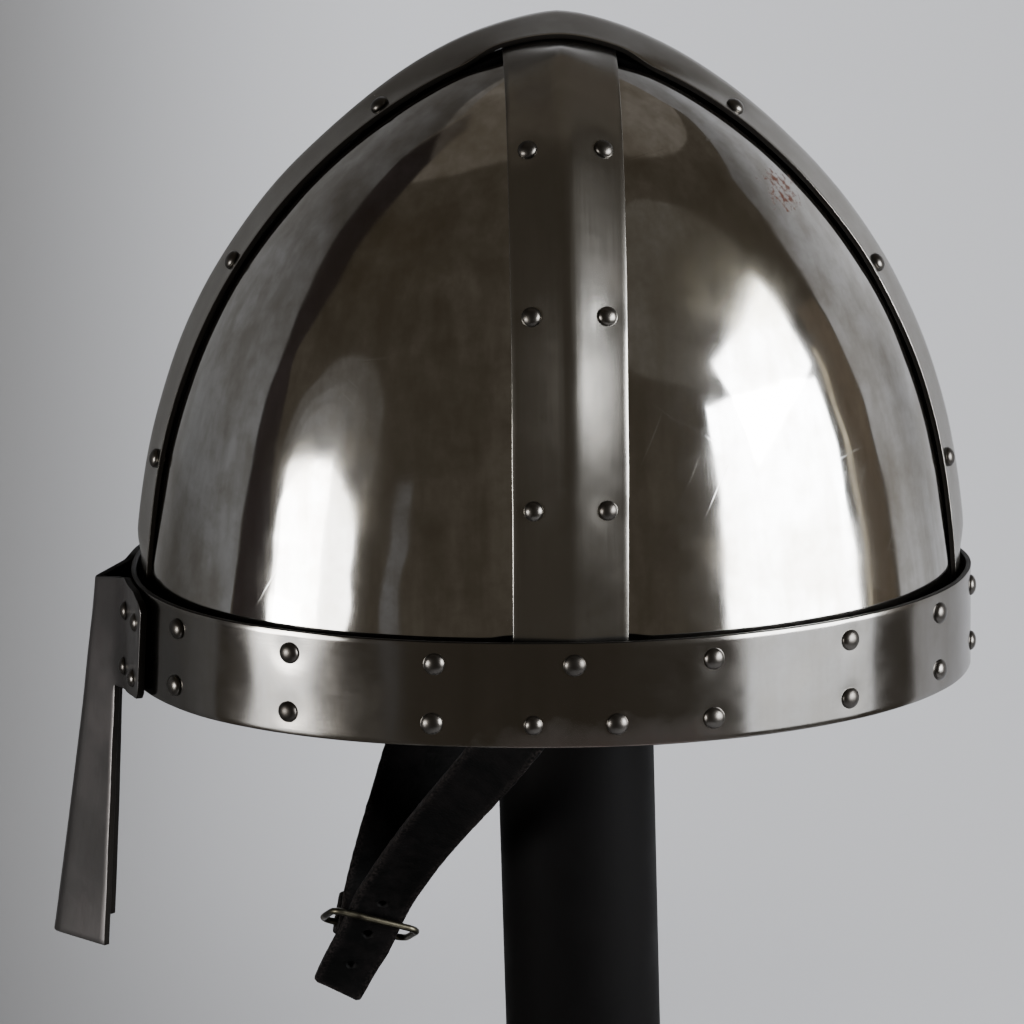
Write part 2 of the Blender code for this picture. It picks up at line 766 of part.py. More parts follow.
def make_punches(kit, material):
    """Cutter for the holes punched along the free length, counted from its tip."""
    points = strap_left_path()[0]
    mesh = bmesh.new()
    across = buckle_frame()[0]
    distance = HOLE_START
    for _ in range(HOLE_COUNT):
        spot, heading = along_path(points, distance)
        facing = heading.cross(across).normalized()
        bmesh.ops.create_cone(mesh, cap_ends=True, segments=BORE_SIDES, radius1=HOLE_RADIUS,
                              radius2=HOLE_RADIUS, depth=3 * LEATHER, matrix=seat_on(spot, facing))
        distance += HOLE_PITCH
    data = bpy.data.meshes.new("strap_punches")
    mesh.to_mesh(data)
    mesh.free()
    return place_tool("strap_punches", data, kit, material)


def along_path(points, distance):
    """Place and heading at a distance from the last point of a path."""
    left = distance
    for first, second in zip(reversed(points), list(reversed(points))[1:]):
        run = (second - first).length
        if left <= run:
            return first.lerp(second, left / run), (second - first).normalized()
        left -= run
    return points[0], (points[0] - points[1]).normalized()


def make_buckle(kit, material):
    across, along, normal, front_bar, rear_bar = buckle_frame()
    centre = (front_bar + rear_bar) / 2
    half_across = (BUCKLE_WIDTH - BUCKLE_WIRE) / 2
    half_along = BUCKLE_SPAN / 2
    curve = bpy.data.curves.new("buckle_frame", "CURVE")
    curve.dimensions = "3D"
    curve.bevel_depth = BUCKLE_WIRE / 2
    curve.bevel_resolution = 2
    corners = [(1, 1), (-1, 1), (-1, -1), (1, -1)]
    spots = []
    for index, (u, v) in enumerate(corners):
        middle = centre + across * u * (half_across - BUCKLE_CORNER) + along * v * (half_along - BUCKLE_CORNER)
        for step in range(4):
            turn = math.pi / 2 * (index + step / 3)
            spots.append(middle + (across * math.cos(turn) + along * math.sin(turn)) * BUCKLE_CORNER)
    spline = curve.splines.new("POLY")
    spline.points.add(len(spots) - 1)
    for point, spot in zip(spline.points, spots):
        point.co = (*spot, 1.0)
    spline.use_cyclic_u = True
    return place("buckle_frame", curve, kit["parts"], material, kit["seat"])


def seat_matrix():
    """From the helmet's frame to the stand's: tipped about the apex, which stays on the post's axis."""
    lean = CROWN_HEIGHT * math.sin(HELMET_TILT)
    return Matrix.Translation((-lean, 0, RIM_HEIGHT)) @ Matrix.Rotation(HELMET_TILT, 4, "Y")


def post_top():
    """Height of the post's top face: its slope just clears the inner side of the panels."""
    inverse = seat_matrix().inverted()
    lowest = math.inf
    for radius in (POST_TOP_RADIUS, POST_RADIUS):
        drop = (radius - POST_TOP_RADIUS) * POST_TOP_SLOPE
        for k in range(TURNED_SEGMENTS):
            turn = 2 * math.pi * k / TURNED_SEGMENTS
            low, high = RIM_HEIGHT, RIM_HEIGHT + CROWN_HEIGHT
            for _ in range(40):
                middle = (low + high) / 2
                spot = Vector((radius * math.cos(turn), radius * math.sin(turn), middle))
                if outside(inverse @ spot) < 0.0:
                    low = middle
                else:
                    high = middle
            lowest = min(lowest, low + drop)
    return lowest - PANEL_SHEET * math.hypot(1.0, POST_TOP_SLOPE) - POST_SEAT_GAP


def make_post(kit, material):
    top = post_top()
    shoulder = top - (POST_RADIUS - POST_TOP_RADIUS) * POST_TOP_SLOPE
    foot = BASE_THICKNESS + GAP
    outline = [(0.0, top), (POST_TOP_RADIUS, top), (POST_RADIUS, shoulder), (POST_RADIUS, foot),
               (SPIGOT_RADIUS, foot), (SPIGOT_RADIUS, foot - SPIGOT_LENGTH), (0.0, foot - SPIGOT_LENGTH)]
    part = place("stand_post", profile_mesh("stand_post", outline), kit["parts"], material)
    turn_profile(part, TURNED_SEGMENTS)
    return part


def make_base(kit, material):
    socket = SPIGOT_RADIUS + GAP
    floor = BASE_THICKNESS - SPIGOT_LENGTH - GAP
    outline = [(0.0, floor), (socket, floor), (socket, BASE_THICKNESS),
               (BASE_RADIUS - BASE_EDGE, BASE_THICKNESS), (BASE_RADIUS, BASE_THICKNESS - BASE_EDGE),
               (BASE_RADIUS, 0.0), (0.0, 0.0)]
    part = place("stand_base", profile_mesh("stand_base", outline), kit["parts"], material)
    turn_profile(part, TURNED_SEGMENTS)
    return part


def main():
    clear_scene()
    kit = {"parts": new_collection("spangenhelm_on_stand"), "tools": new_collection("cutters")}
    kit["seat"] = bpy.data.objects.new("helmet_seat", None)
    kit["parts"].objects.link(kit["seat"])
    kit["seat"].matrix_world = seat_matrix()

    steel = new_material("ground_steel", (0.50, 0.49, 0.47), 0.24, 1.0)
    strap_steel = new_material("satin_steel", (0.42, 0.41, 0.40), 0.34, 1.0)
    band_steel = new_material("brow_steel", (0.46, 0.45, 0.44), 0.28, 1.0)
    nasal_steel = new_material("dull_steel", (0.34, 0.34, 0.34), 0.42, 1.0)
    rivet_steel = new_material("dark_rivet_steel", (0.16, 0.15, 0.14), 0.30, 1.0)
    leather = new_material("black_leather", (0.014, 0.013, 0.014), 0.62, 0.0)
    brass = new_material("aged_brass", (0.25, 0.21, 0.12), 0.38, 1.0)
    stand_black = new_material("matt_black_wood", (0.012, 0.012, 0.014), 0.70, 0.0)

    bores = make_bores(make_rivets(kit, rivet_steel), kit, rivet_steel)
    drilled = [make_strap("crest", kit, strap_steel), make_strap("side", kit, strap_steel)]
    for end, front in (("front", True), ("rear", False)):
        for hand, right in (("left", False), ("right", True)):
            drilled.append(make_panel(f"panel_{end}_{hand}", front, right, kit, steel))
    drilled.append(make_band(kit, band_steel))
    drilled.append(make_nasal(kit, nasal_steel))
    left_strap = make_chin_strap("chin_strap_left", strap_left_path(), kit, leather)
    drilled += [left_strap, make_chin_strap("chin_strap_right", strap_right_path(), kit, leather)]
    for part in drilled:
        boolean(part, bores, "DIFFERENCE")
    boolean(left_strap, make_punches(kit, leather), "DIFFERENCE")
    make_buckle(kit, brass)
    make_post(kit, stand_black)
    make_base(kit, stand_black)


main()
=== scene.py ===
"""Looks of the spangenhelm on its stand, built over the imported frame.

The helmet's pieces are laid over the same crown rule as the part, in the helmet's own frame: +X to
the back, -Y to the wearer's left, +Z up, origin in the plane of the rim. Each finished mesh is then
moved into the stand's frame. Lengths are in metres.
"""
import math
from functools import partial

import bmesh
import bpy
import numpy as np
from mathutils import Matrix, Vector, noise


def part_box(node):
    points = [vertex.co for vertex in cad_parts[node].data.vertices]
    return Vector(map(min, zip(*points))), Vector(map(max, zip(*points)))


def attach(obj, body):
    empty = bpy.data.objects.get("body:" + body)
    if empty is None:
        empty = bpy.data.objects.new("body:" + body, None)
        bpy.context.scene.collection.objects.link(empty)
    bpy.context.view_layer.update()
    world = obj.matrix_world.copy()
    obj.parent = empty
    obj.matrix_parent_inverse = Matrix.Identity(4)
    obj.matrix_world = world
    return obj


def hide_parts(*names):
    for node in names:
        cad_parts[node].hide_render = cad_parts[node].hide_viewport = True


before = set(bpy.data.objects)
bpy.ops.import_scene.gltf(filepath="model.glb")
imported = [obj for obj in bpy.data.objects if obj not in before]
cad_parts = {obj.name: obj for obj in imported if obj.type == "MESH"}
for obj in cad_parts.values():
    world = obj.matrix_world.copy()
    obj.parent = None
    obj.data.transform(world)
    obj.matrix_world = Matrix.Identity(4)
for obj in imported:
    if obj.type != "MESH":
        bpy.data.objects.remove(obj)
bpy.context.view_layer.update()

# Crown skin: the outer face of the panels
CROWN_FRONT = 0.1123
CROWN_BACK = 0.1100
CROWN_HALF_WIDTH = 0.0877
CROWN_HEIGHT = 0.1738
PLAN_POWER_FRONT = 2.25
PLAN_POWER_BACK = 1.92
RISE_POWER = 2.57
LENGTH_POWER = 1.52
WIDTH_POWER = 2.05

# Sheets, and how far each lies over the skin
GAP = 0.0003
PANEL_SHEET = 0.0015
STRAP_SHEET = 0.0014
BAND_SHEET = 0.0014
NASAL_SHEET = 0.0020
STRAP_LEVEL = 0.0005
BAND_LEVEL = 0.0042
BAND_TAPER = 0.0006
LUG_LEVEL = BAND_LEVEL + BAND_SHEET + GAP

STRAP_WIDTH = 0.0295
CREASE_HEIGHT = 0.0027
CREASE_AT_FOOT = BAND_LEVEL - BAND_TAPER - STRAP_SHEET - STRAP_LEVEL - 2 * GAP
CREASE_RISE = 0.010
SIDE_CREASE_RISE = 0.078
CREASE_SOFTNESS = 0.05
CREASE_HOLLOW = 1.5
SIDE_CREASE_GAIN = 1.3
SIDE_CREASE_START = 0.015
SIDE_CREASE_FADE = 0.014
CROSSING_EASE = 0.050
CROSSING_EDGE_EASE = 0.011
FOOT_HEIGHT = 0.002
BAND_HEIGHT = 0.0278

PANEL_INSET = 0.0045
PANEL_TOP_SHARE = 0.012
FLARE_TOP = 0.050
FLARE_FULL = 0.022
FLARE_START = 0.0152
FLARE_SIDE_EASE = 0.006
FLARE_SHARE = 0.45
FLARE_CLEARANCE = 0.0006

NASAL_RIDGE_LEAD = 0.0076
NASAL_RIDGE_LEAN = 0.113
NASAL_RIDGE_CURL = 0.272
NASAL_EDGE_LEAD = 0.0004
NASAL_EDGE_LEAN = 0.0535
NASAL_HALF_TOP = 0.0100
NASAL_HALF_BOTTOM = 0.0155
NASAL_DROP = 0.078
NASAL_LENGTH = 0.106
NASAL_TOP_DIP = 0.0030
LUG_HALF_TOP = 0.0392
LUG_HALF_BOTTOM = 0.0368
LUG_BLEND = 0.0042
LUG_TOP_DROP = 0.0006
LUG_CORNER_DROP = 0.0014
LUG_CORNER = 0.0024
LUG_LIFT = 0.0009
LUG_BOTTOM_DROP = 0.0014
LUG_BOTTOM_SLOPE = 0.0030

HEAD_RADIUS = 0.0026
BAND_HEAD_RADIUS = 0.0029
HEAD_HEIGHT = 0.0017
SHANK_RADIUS = 0.0012
TAIL_RADIUS = 0.0021
TAIL_HEIGHT = 0.0008
TAIL_SLACK = 0.0016
RIVET_REST = 0.0001
RIVET_OFFSET = 0.0093
DENT_RADIUS = 0.0042
DENT_DEPTH = 0.00016
STRAP_ROWS = {"crest": (0.340, 0.649, 0.886), "side": (0.351, 0.627, 0.852)}
LUG_RIVETS = ((0.0192, 0.0195, 0.0328), (0.0030, 0.0172, 0.0302))
BAND_RIVETS = (
    (0.0219, (6.5, 27.2, 48.8, 70.2, 89.5, 105.0, 125.7, 149.6)),
    (0.0061, (6.5, 27.2, 48.8, 70.2, 83.5, 105.3, 125.9, 150.4)),
)
CHIN_RIVET_ANGLE = 93.5
CHIN_RIVET_HEIGHT = 0.0061

LEATHER = 0.0022
LEATHER_WIDTH = 0.0163
LEATHER_TAB = 0.010
CHIN_SLACK = 0.0019
CHIN_LEVEL = -(PANEL_SHEET + CHIN_SLACK + LEATHER / 2)
TIP_WIDTH_SHARE = 0.92
TIP_ACROSS = (0.89, 0.0, -0.46)
TIP_SWAY = 0.0016
TIP_DROOP = 0.0015
FREE_TIP = 0.0182
FOLD_BACK = 0.010
HANG_BOW = 0.012
HOLE_RADIUS = 0.0015
HOLE_PITCH = 0.0130
HOLE_START = 0.0112
HOLE_COUNT = 3
BLIND_HOLE_RISE = 1.75 * LEATHER
CUT_EDGE_WIDTH = 0.0011
BUCKLE_FORWARD = 0.0525
BUCKLE_DROP = 0.0777
BUCKLE_WIDTH = 0.0270
BUCKLE_SPAN = 0.0140
BUCKLE_WIRE = 0.0019
BUCKLE_CORNER = 0.0030
BUCKLE_PLAY = 0.0006
BUCKLE_ACROSS = (0.943, 0.144, -0.299)
BUCKLE_ALONG = (-0.344, 0.836, -0.428)

HELMET_TILT = math.radians(1.61)
RIM_HEIGHT = 0.200
POST_RADIUS = 0.0219
POST_TOP_RADIUS = 0.0140
POST_TOP_SLOPE = 0.60
BASE_RADIUS = 0.100
BASE_THICKNESS = 0.020
BASE_EDGE = 0.004
SPIGOT_RADIUS = 0.012
SPIGOT_LENGTH = 0.010

# Rounding of edges: ground steel, cut leather and the turned stand
STEEL_EDGE = 0.0002
LEATHER_EDGE = 0.0006
STAND_EDGE = 0.0012

# Rows and columns of the meshes: strap (along, across), band (up, round), nasal (over the bar, the
# bend and the lug, and down the lug and the bar), leather across, turned wood round
STRAP_STEPS = (241, 21)
BAND_STEPS = (19, 520)
NASAL_STEPS = (11, 5, 27)
NASAL_ROWS = (24, 44)
LEATHER_STEPS = 15
TURNED_STEPS = 128

# Hand work, as reach and height of the unevenness. On edges the height is a share of the width. The
# rest is how far a strip lies clear of its seat for it, and the trim what the leather's edges lose
STRAP_WAVE = (0.022, 0.00022)
STRAP_EDGE_WAVE = (0.03, 0.012)
STRAP_REST = 0.00006
BAND_WAVE = (0.020, 0.00022)
BAND_REST = 0.00005
BAND_DENT_SHARE = 0.8
NASAL_WAVE = (0.018, 0.0002)
LEATHER_WAVE = (0.006, 0.00016)
LEATHER_EDGE_WAVES = ((0.0022, 0.014), (0.012, 0.012))
LEATHER_TRIM = 0.012
LEATHER_CORNER = 0.0009
LEATHER_CORNER_TRIM = 0.16
LEATHER_ROW = 0.0009
LEATHER_CUP = 0.00035
LEATHER_CORE = 0.96

# Patterns of the steel: cloudy patches, fine mottle, clusters of scratches, the streaks of the wiping
# film along x, y and z, and the scratches' own turns and sizes
CLOUD_SIZE = 0.038
MOTTLE_SIZE = 0.006
CLUSTER_SIZE = 0.03
FILM_SIZE = (0.007, 0.007, 0.07)
SCRATCHES = (
    (0.5, (0.0008, 0.03, 0.03)), (-0.9, (0.0009, 0.025, 0.02)), (1.4, (0.0010, 0.02, 0.02)))
SCRATCH_DEPTH = 0.000006

# Studio: the backdrop's two ends in degrees round from the middle, its flat, cove and drop under the
# foot, the floor's reach behind the camera, the backdrop's top (degrees, height) and the edges of the
# cloth beside it (pairs of azimuth and elevation in degrees, as seen from the helmet)
SWEEP_ENDS = (-97.2, 82.8)
SWEEP_FLAT = 0.30
SWEEP_COVE = 0.62
SWEEP_DROP = 0.0005
FLOOR_REACH = 0.4
SWEEP_TOP = (
    (-97.2, 0.36), (-95, 0.48), (-92, 0.65), (-86.5, 0.83), (-75, 1.08), (-61, 1.38), (-48, 1.9),
    (20, 1.5), (45, 1.05), (70, 1.02), (77, 0.83), (81, 0.63), (82.8, 0.48))
CLOTH_EDGES = (
    ((-82.8, -13), (-69.5, -13)), ((-82.8, -4), (-69.5, -4)), ((-83.2, 5), (-71.5, 5)),
    ((-85.0, 12), (-74.5, 13)), ((-88.0, 22), (-80.0, 23)), ((-93.5, 31), (-79.5, 34)),
    ((-105, 41), (-86.0, 47)), ((-119, 50), (-97.0, 57)), ((-132, 63), (-112, 67)))

# Lamps: name, azimuth and elevation in degrees as seen from the helmet (azimuth 0 is the camera's side
# and grows to the picture's right), width, height, brightness, tint, shape and roll. Haze, glow and
# ceiling are nested, so that they fade outwards
HELMET_MIDDLE = 0.28
LAMP_DISTANCE = 1.5
LAMPS = [
    ("left_window", -59, -0.5, 0.40, 0.45, 14.0, "#FFFDFA"),
    ("left_window_foot", -62.5, -5, 0.35, 0.22, 13.0, "#FFFDFA"),
    ("left_window_round", -55.5, -1.5, 0.70, 0.50, 12.0, "#FFFDFA", "ELLIPSE"),
    *[(f"left_haze_{number + 1}", -55 - number, 12 - number, 0.85 * share, 0.66 * share, 0.08,
       "#F4F6FA", "ELLIPSE") for number, share in enumerate((1.0, 0.76, 0.55))],
    ("left_sill", -60.5, -16, 0.50, 0.34, 4.2, "#F4F6FA"),
    ("left_streak", -30, -12, 0.11, 0.95, 0.10, "#D8E0F0"),
    ("right_window", 62.2, 1.5, 1.10, 0.60, 25.0, "#FAFCFF"),
    ("right_window_top", 65.5, 16.5, 0.80, 0.42, 25.0, "#FAFCFF", "RECTANGLE", 20),
    ("right_sill", 64, -15, 1.00, 0.27, 2.8, "#F0F4FA"),
    *[(f"right_glow_{number + 1}", 46, 33, 1.5 * share, 0.9 * share, 0.063, "#F2F0EA", "ELLIPSE")
      for number, share in enumerate((1.1, 0.9, 0.7, 0.5))],
    *[(f"ceiling_{number + 1}", 180, 72, 2.4 * share, 2.2 * share, 0.11, "#F2E8DC", "ELLIPSE")
      for number, share in enumerate((1.0, 0.65))],
    ("door_edge", 86.2, 2, 0.040, 0.7, 0.9, "#FFF0D0"),
    ("brown_curtain", 93, 4, 0.28, 0.9, 0.08, "#F0D2B0"),
]

# The photograph's camera: its place, its turn, dip and roll in degrees, and its lens in millimetres
CAMERA_PLACE = (-0.04728, -1.1756, 0.51045)
CAMERA_TURNS = (1.53, 12.87, 1.71)
CAMERA_LENS = 153.23

HELMET_TO_STAND = (Matrix.Translation((-CROWN_HEIGHT * math.sin(HELMET_TILT), 0, RIM_HEIGHT))
                   @ Matrix.Rotation(HELMET_TILT, 4, "Y"))


# ---------------------------------------------------------------- the crown rule

def smooth(share):
    """Ease from 0 to 1."""
    share = np.clip(share, 0.0, 1.0)
    return share * share * (3.0 - 2.0 * share)


def plan_axes(x, grow=0.0):
    """Half length on this side, half width and plan power, grown by a level."""
    front = np.asarray(x) < 0.0
    length = np.where(front, CROWN_FRONT, CROWN_BACK) + grow
    return length, CROWN_HALF_WIDTH + grow, np.where(front, PLAN_POWER_FRONT, PLAN_POWER_BACK)


def outside(point):
    """Below zero inside the crown skin and above zero outside it."""
    left = 1.0 - np.clip(point[..., 2] / CROWN_HEIGHT, 0.0, 1.0) ** RISE_POWER
    length, width, power = plan_axes(point[..., 0])
    along = (np.abs(point[..., 0]) / length) ** power
    across = (np.abs(point[..., 1]) / width) ** power
    return (along + across * left ** (power / LENGTH_POWER - power / WIDTH_POWER)
            - left ** (power / LENGTH_POWER))


def hit_skin(start, heading):
    """Where lines from inside the crown leave the skin."""
    near = np.zeros(heading.shape[:-1])
    far = near + 2.0 * CROWN_HEIGHT
    for _ in range(46):
        middle = (near + far) / 2
        inner = outside(start + heading * middle[..., None]) < 0.0
        near, far = np.where(inner, middle, near), np.where(inner, far, middle)
    return start + heading * near[..., None]


def strap_skin(run, angle, offset):
    """Skin under a strap: the angle turns over the crown from one foot to the other."""
    angle, offset = np.broadcast_arrays(np.asarray(angle, float), np.asarray(offset, float))
    none, turn, rise = np.zeros_like(angle), -np.cos(angle), np.sin(angle)
    if run == "crest":
        return hit_skin(np.stack((none, offset, none), -1), np.stack((turn, none, rise), -1))
    return hit_skin(np.stack((offset, none, none), -1), np.stack((none, turn, rise), -1))


def normals_of(surface, u, v, step_u, step_v):
    """Outward normals of a surface given as a function of two numbers."""
    along = surface(u + step_u, v) - surface(u - step_u, v)
    across = surface(u, v + step_v) - surface(u, v - step_v)
    normal = np.cross(along, across)
    normal /= np.linalg.norm(normal, axis=-1, keepdims=True)
    away = np.sum(normal * surface(u, v), axis=-1, keepdims=True)
    return np.where(away < 0.0, -normal, normal)


def crease(share):
    """Section of a strap from its middle to its edge: a rounded bend with hollow flanks."""
    full = math.hypot(1.0, CREASE_SOFTNESS) - CREASE_SOFTNESS
    fall = (np.hypot(share, CREASE_SOFTNESS) - CREASE_SOFTNESS) / full
    return np.clip(1.0 - fall, 0.0, 1.0) ** CREASE_HOLLOW


def strap_level(run, point, offset):
    """Level of a strap's underside: it rises to the crease and over the strap that it crosses."""
    half = STRAP_WIDTH / 2
    rise = CREASE_RISE if run == "crest" else SIDE_CREASE_RISE
    grown = smooth((point[..., 2] - BAND_HEIGHT) / rise)
    height = CREASE_AT_FOOT + (CREASE_HEIGHT - CREASE_AT_FOOT) * grown
    if run == "side":
        height = height * smooth((np.abs(point[..., 1]) - SIDE_CREASE_START) / SIDE_CREASE_FADE)
        height = height * (1.0 + (SIDE_CREASE_GAIN - 1.0) * grown)
    level = STRAP_LEVEL + height * crease(np.abs(offset) / half)
    if run == "crest":
        side = np.clip(np.abs(offset) / half, 0.0, 1.0)
        ease = CROSSING_EASE + (CROSSING_EDGE_EASE - CROSSING_EASE) * side
        near = (half + ease - np.abs(point[..., 0])) / ease
        level = level + (GAP + STRAP_SHEET) * smooth(near)
    return level


def strap_underside(run, angle, offset):
    skin = strap_skin(run, angle, offset)
    normal = normals_of(partial(strap_skin, run), angle, offset, 0.004, 0.0002)
    return skin + normal * strap_level(run, skin, offset)[..., None]


def round_plan(angle, grow):
    """Points of the grown rim plan, with the angle counted from the back over the wearer's left."""
    length, width, power = plan_axes(np.cos(angle), grow)
    x = length * np.abs(np.cos(angle)) ** (2 / power) * np.sign(np.cos(angle))
    y = -width * np.abs(np.sin(angle)) ** (2 / power) * np.sign(np.sin(angle))
    return x, y


def band_point(angle, z, level):
    """Point of the band at a level over the skin: the band leans in a little towards its top."""
    angle, z = np.broadcast_arrays(np.asarray(angle, float), np.asarray(z, float))
    x, y = round_plan(angle, level - BAND_TAPER * np.clip(z / BAND_HEIGHT, 0.0, 1.0))
    return np.stack((x, y, z), -1)


# ---------------------------------------------------------------- meshes and pieces

def stacked(*parts):
    """Points or UV places whose parts are spread over one grid."""
    return np.stack(np.broadcast_arrays(*parts), -1)


def face_out(mesh, centre=(0, 0, 0)):
    """Turn the faces of an open surface away from a centre."""
    mesh.normal_update()
    centre = Vector(centre)
    if sum(f.normal.dot(f.calc_center_median() - centre) * f.calc_area() for f in mesh.faces) < 0.0:
        bmesh.ops.reverse_faces(mesh, faces=mesh.faces)


def changed(data, change):
    """Work on a mesh's faces with a function and write them back."""
    mesh = bmesh.new()
    mesh.from_mesh(data)
    change(mesh)
    mesh.to_mesh(data)
    mesh.free()


def sheet_mesh(name, grid, uv=None, closed=False, centre=(0, 0, 0), keep=None):
    """Open surface through a grid of points, its faces turned away from a centre."""
    rows, columns = grid.shape[:2]
    mesh = bmesh.new()
    layer = mesh.loops.layers.uv.new("UVMap")
    spots = [[mesh.verts.new(point) for point in row] for row in grid]
    for i in range(rows - 1):
        for j in range(columns if closed else columns - 1):
            if keep is not None and not keep(i, j):
                continue
            corners = ((i, j), (i + 1, j), (i + 1, j + 1), (i, j + 1))
            face = mesh.faces.new([spots[a][b % columns] for a, b in corners])
            face.smooth = True
            if uv is not None:
                for loop, (a, b) in zip(face.loops, corners):
                    loop[layer].uv = uv[a, b]
    bmesh.ops.delete(mesh, geom=[v for v in mesh.verts if not v.link_faces], context="VERTS")
    bmesh.ops.remove_doubles(mesh, verts=mesh.verts, dist=1e-7)
    face_out(mesh, centre)
    data = bpy.data.meshes.new(name)
    mesh.to_mesh(data)
    mesh.free()
    return data


def new_object(name, data):
    piece = bpy.data.objects.new(name, data)
    bpy.context.scene.collection.objects.link(piece)
    return piece


def round_edges(piece, width, segments, angle, material=-1):
    rounding = piece.modifiers.new("edges", "BEVEL")
    rounding.width, rounding.segments, rounding.material = width, segments, material
    rounding.limit_method, rounding.angle_limit = "ANGLE", math.radians(angle)


def thicken(piece, sheet, side, edge, segments=2, edge_material=-1):
    """Give an open surface its thickness and round the edges. Material 1 marks the edge and inner faces,
    which are painted dark, as mill skin and as painted shade.
    """
    wall = piece.modifiers.new("wall", "SOLIDIFY")
    wall.thickness, wall.offset, wall.use_even_offset = sheet, side, True
    while len(piece.data.materials) < 2:
        piece.data.materials.append(None)
    wall.material_offset = wall.material_offset_rim = 1
    round_edges(piece, edge, segments, 50, edge_material)


def settle(piece):
    """Replace a piece's mesh with what its modifiers make of it."""
    graph = bpy.context.evaluated_depsgraph_get()
    data = bpy.data.meshes.new_from_object(piece.evaluated_get(graph), depsgraph=graph)
    piece.modifiers.clear()
    piece.data = data
    data.name = piece.name
    return piece


def keep_piece(piece, material, nodes, on_helmet=True):
    """Finish a piece: one material, smooth faces, its place on the stand and what the frame is told."""
    data = piece.data
    # Edge and inner faces: painted dark later, as mill skin and as painted shade along the edges
    unpolished = data.attributes.new("unpolished", "FLOAT", "FACE")
    unpolished.data.foreach_set("value", [float(face.material_index == 1) for face in data.polygons])
    data.materials.clear()
    data.materials.append(material)
    data.polygons.foreach_set("material_index", [0] * len(data.polygons))
    data.shade_smooth()
    if on_helmet:
        data.transform(HELMET_TO_STAND)
    data.update()
    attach(piece, "root")
    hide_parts(*nodes)


def travelled(points):
    """Distance along a row of points."""
    steps = np.linalg.norm(np.diff(points, axis=0), axis=1)
    return np.concatenate(([0.0], np.cumsum(steps)))


def ripple(points, reach, height, seed):
    """Low unevenness of hand work at each point, in metres."""
    shift = Vector((seed * 3.17, seed * 1.73, seed * 2.39))
    flat = points.reshape(-1, 3)
    values = [noise.noise(Vector(point) / reach + shift) for point in flat]
    return (np.array(values) * height).reshape(points.shape[:-1])


def dents(points, centres):
    """Shallow ring pressed in round each rivet, in metres."""
    depth = np.zeros(points.shape[:-1])
    for centre in centres:
        near = np.linalg.norm(points - np.asarray(centre), axis=-1) / DENT_RADIUS
        depth += DENT_DEPTH * np.exp(-near ** 4)
    return depth


def hammered(grid, normal, sheet, rivets, wave, seed, rest, dent_share=1.0):
    """Lay a strip's underside with the low unevenness of hand work and the dents of its rivets."""
    low = ripple(grid, *wave, seed)
    low = low - dents(grid + normal * sheet, [place for place, _ in rivets]) * dent_share
    return grid + normal * (low + rest)[..., None]


# ---------------------------------------------------------------- rivet places

def strap_rivets(run):
    """Places and facings of the rivets along one strap, two abreast on both slopes."""
    found = []
    for share in STRAP_ROWS[run]:
        for offset in (-RIVET_OFFSET, RIVET_OFFSET):
            low, high = 0.0, math.pi / 2
            for _ in range(40):
                middle = (low + high) / 2
                if strap_skin(run, middle, offset)[2] < share * CROWN_HEIGHT:
                    low = middle
                else:
                    high = middle
            for angle in (low, math.pi - low):
                point = strap_underside(run, angle, offset)
                normal = normals_of(partial(strap_underside, run), angle, offset, 0.02, 0.002)
                found.append((point + normal * (STRAP_SHEET + RIVET_REST), normal))
    return found


def lug_point(y, z, level=LUG_LEVEL + NASAL_SHEET):
    """Point of the nasal's outer face over the band."""
    y, z = np.broadcast_arrays(np.asarray(y, float), np.asarray(z, float))
    length, width, power = plan_axes(-1.0, level - BAND_TAPER * np.clip(z / BAND_HEIGHT, 0.0, 1.0))
    return np.stack((-length * (1.0 - (np.abs(y) / width) ** power) ** (1 / power), y, z), -1)


def nasal_rivets():
    """Places and facings of the nasal's rivets."""
    found = []
    for z, inner, outer in LUG_RIVETS:
        for y in (-outer, -inner, inner, outer):
            normal = normals_of(lug_point, y, z, 0.003, 0.001)
            found.append((lug_point(y, z) + normal * RIVET_REST, normal))
    return found


def band_rivets():
    """Places and facings of the rivets round the band."""
    found = []
    level = BAND_LEVEL + BAND_SHEET
    for z, spread in BAND_RIVETS:
        for degrees in spread:
            for angle in (math.radians(degrees), -math.radians(degrees)):
                normal = normals_of(partial(band_point, level=level), angle, z, 0.01, 0.001)
                found.append((band_point(angle, z, level) - normal * RIVET_REST, normal))
    return found


def chin_rivet(side):
    """Place and facing of the rivet that holds a chin strap: side is -1 on the wearer's left."""
    angle = math.radians(CHIN_RIVET_ANGLE) * -side
    normal = np.array((0.0, side, 0.0))
    point = band_point(angle, CHIN_RIVET_HEIGHT, BAND_LEVEL + BAND_SHEET)
    return point + normal * RIVET_REST, normal


# ---------------------------------------------------------------- nodes

def add_node(tree, kind, *values, named=None, out=None, **settings):
    """Add a node with its settings and links. A kind in capitals is a Math operation, and one that
    names no family is a shader node. Values fill the open inputs in order; each is a number, a link
    or a list of links. Returns the output asked for, or else the first open one."""
    if kind.isupper():
        kind, settings = "Math", {"operation": kind}
    node = tree.nodes.new(kind if "Node" in kind else "ShaderNode" + kind)
    for key, value in settings.items():
        setattr(node, key, value)
    filled = list(zip([socket for socket in node.inputs if socket.enabled], values))
    filled += [(node.inputs[key], value) for key, value in (named or {}).items()]
    for socket, value in filled:
        links = value if isinstance(value, list) else [value]
        if isinstance(links[0], bpy.types.NodeSocket):
            for link in links:
                tree.links.new(link, socket)
        else:
            socket.default_value = value
    if out is not None:
        return node.outputs[out]
    return next((socket for socket in node.outputs if socket.enabled), None)


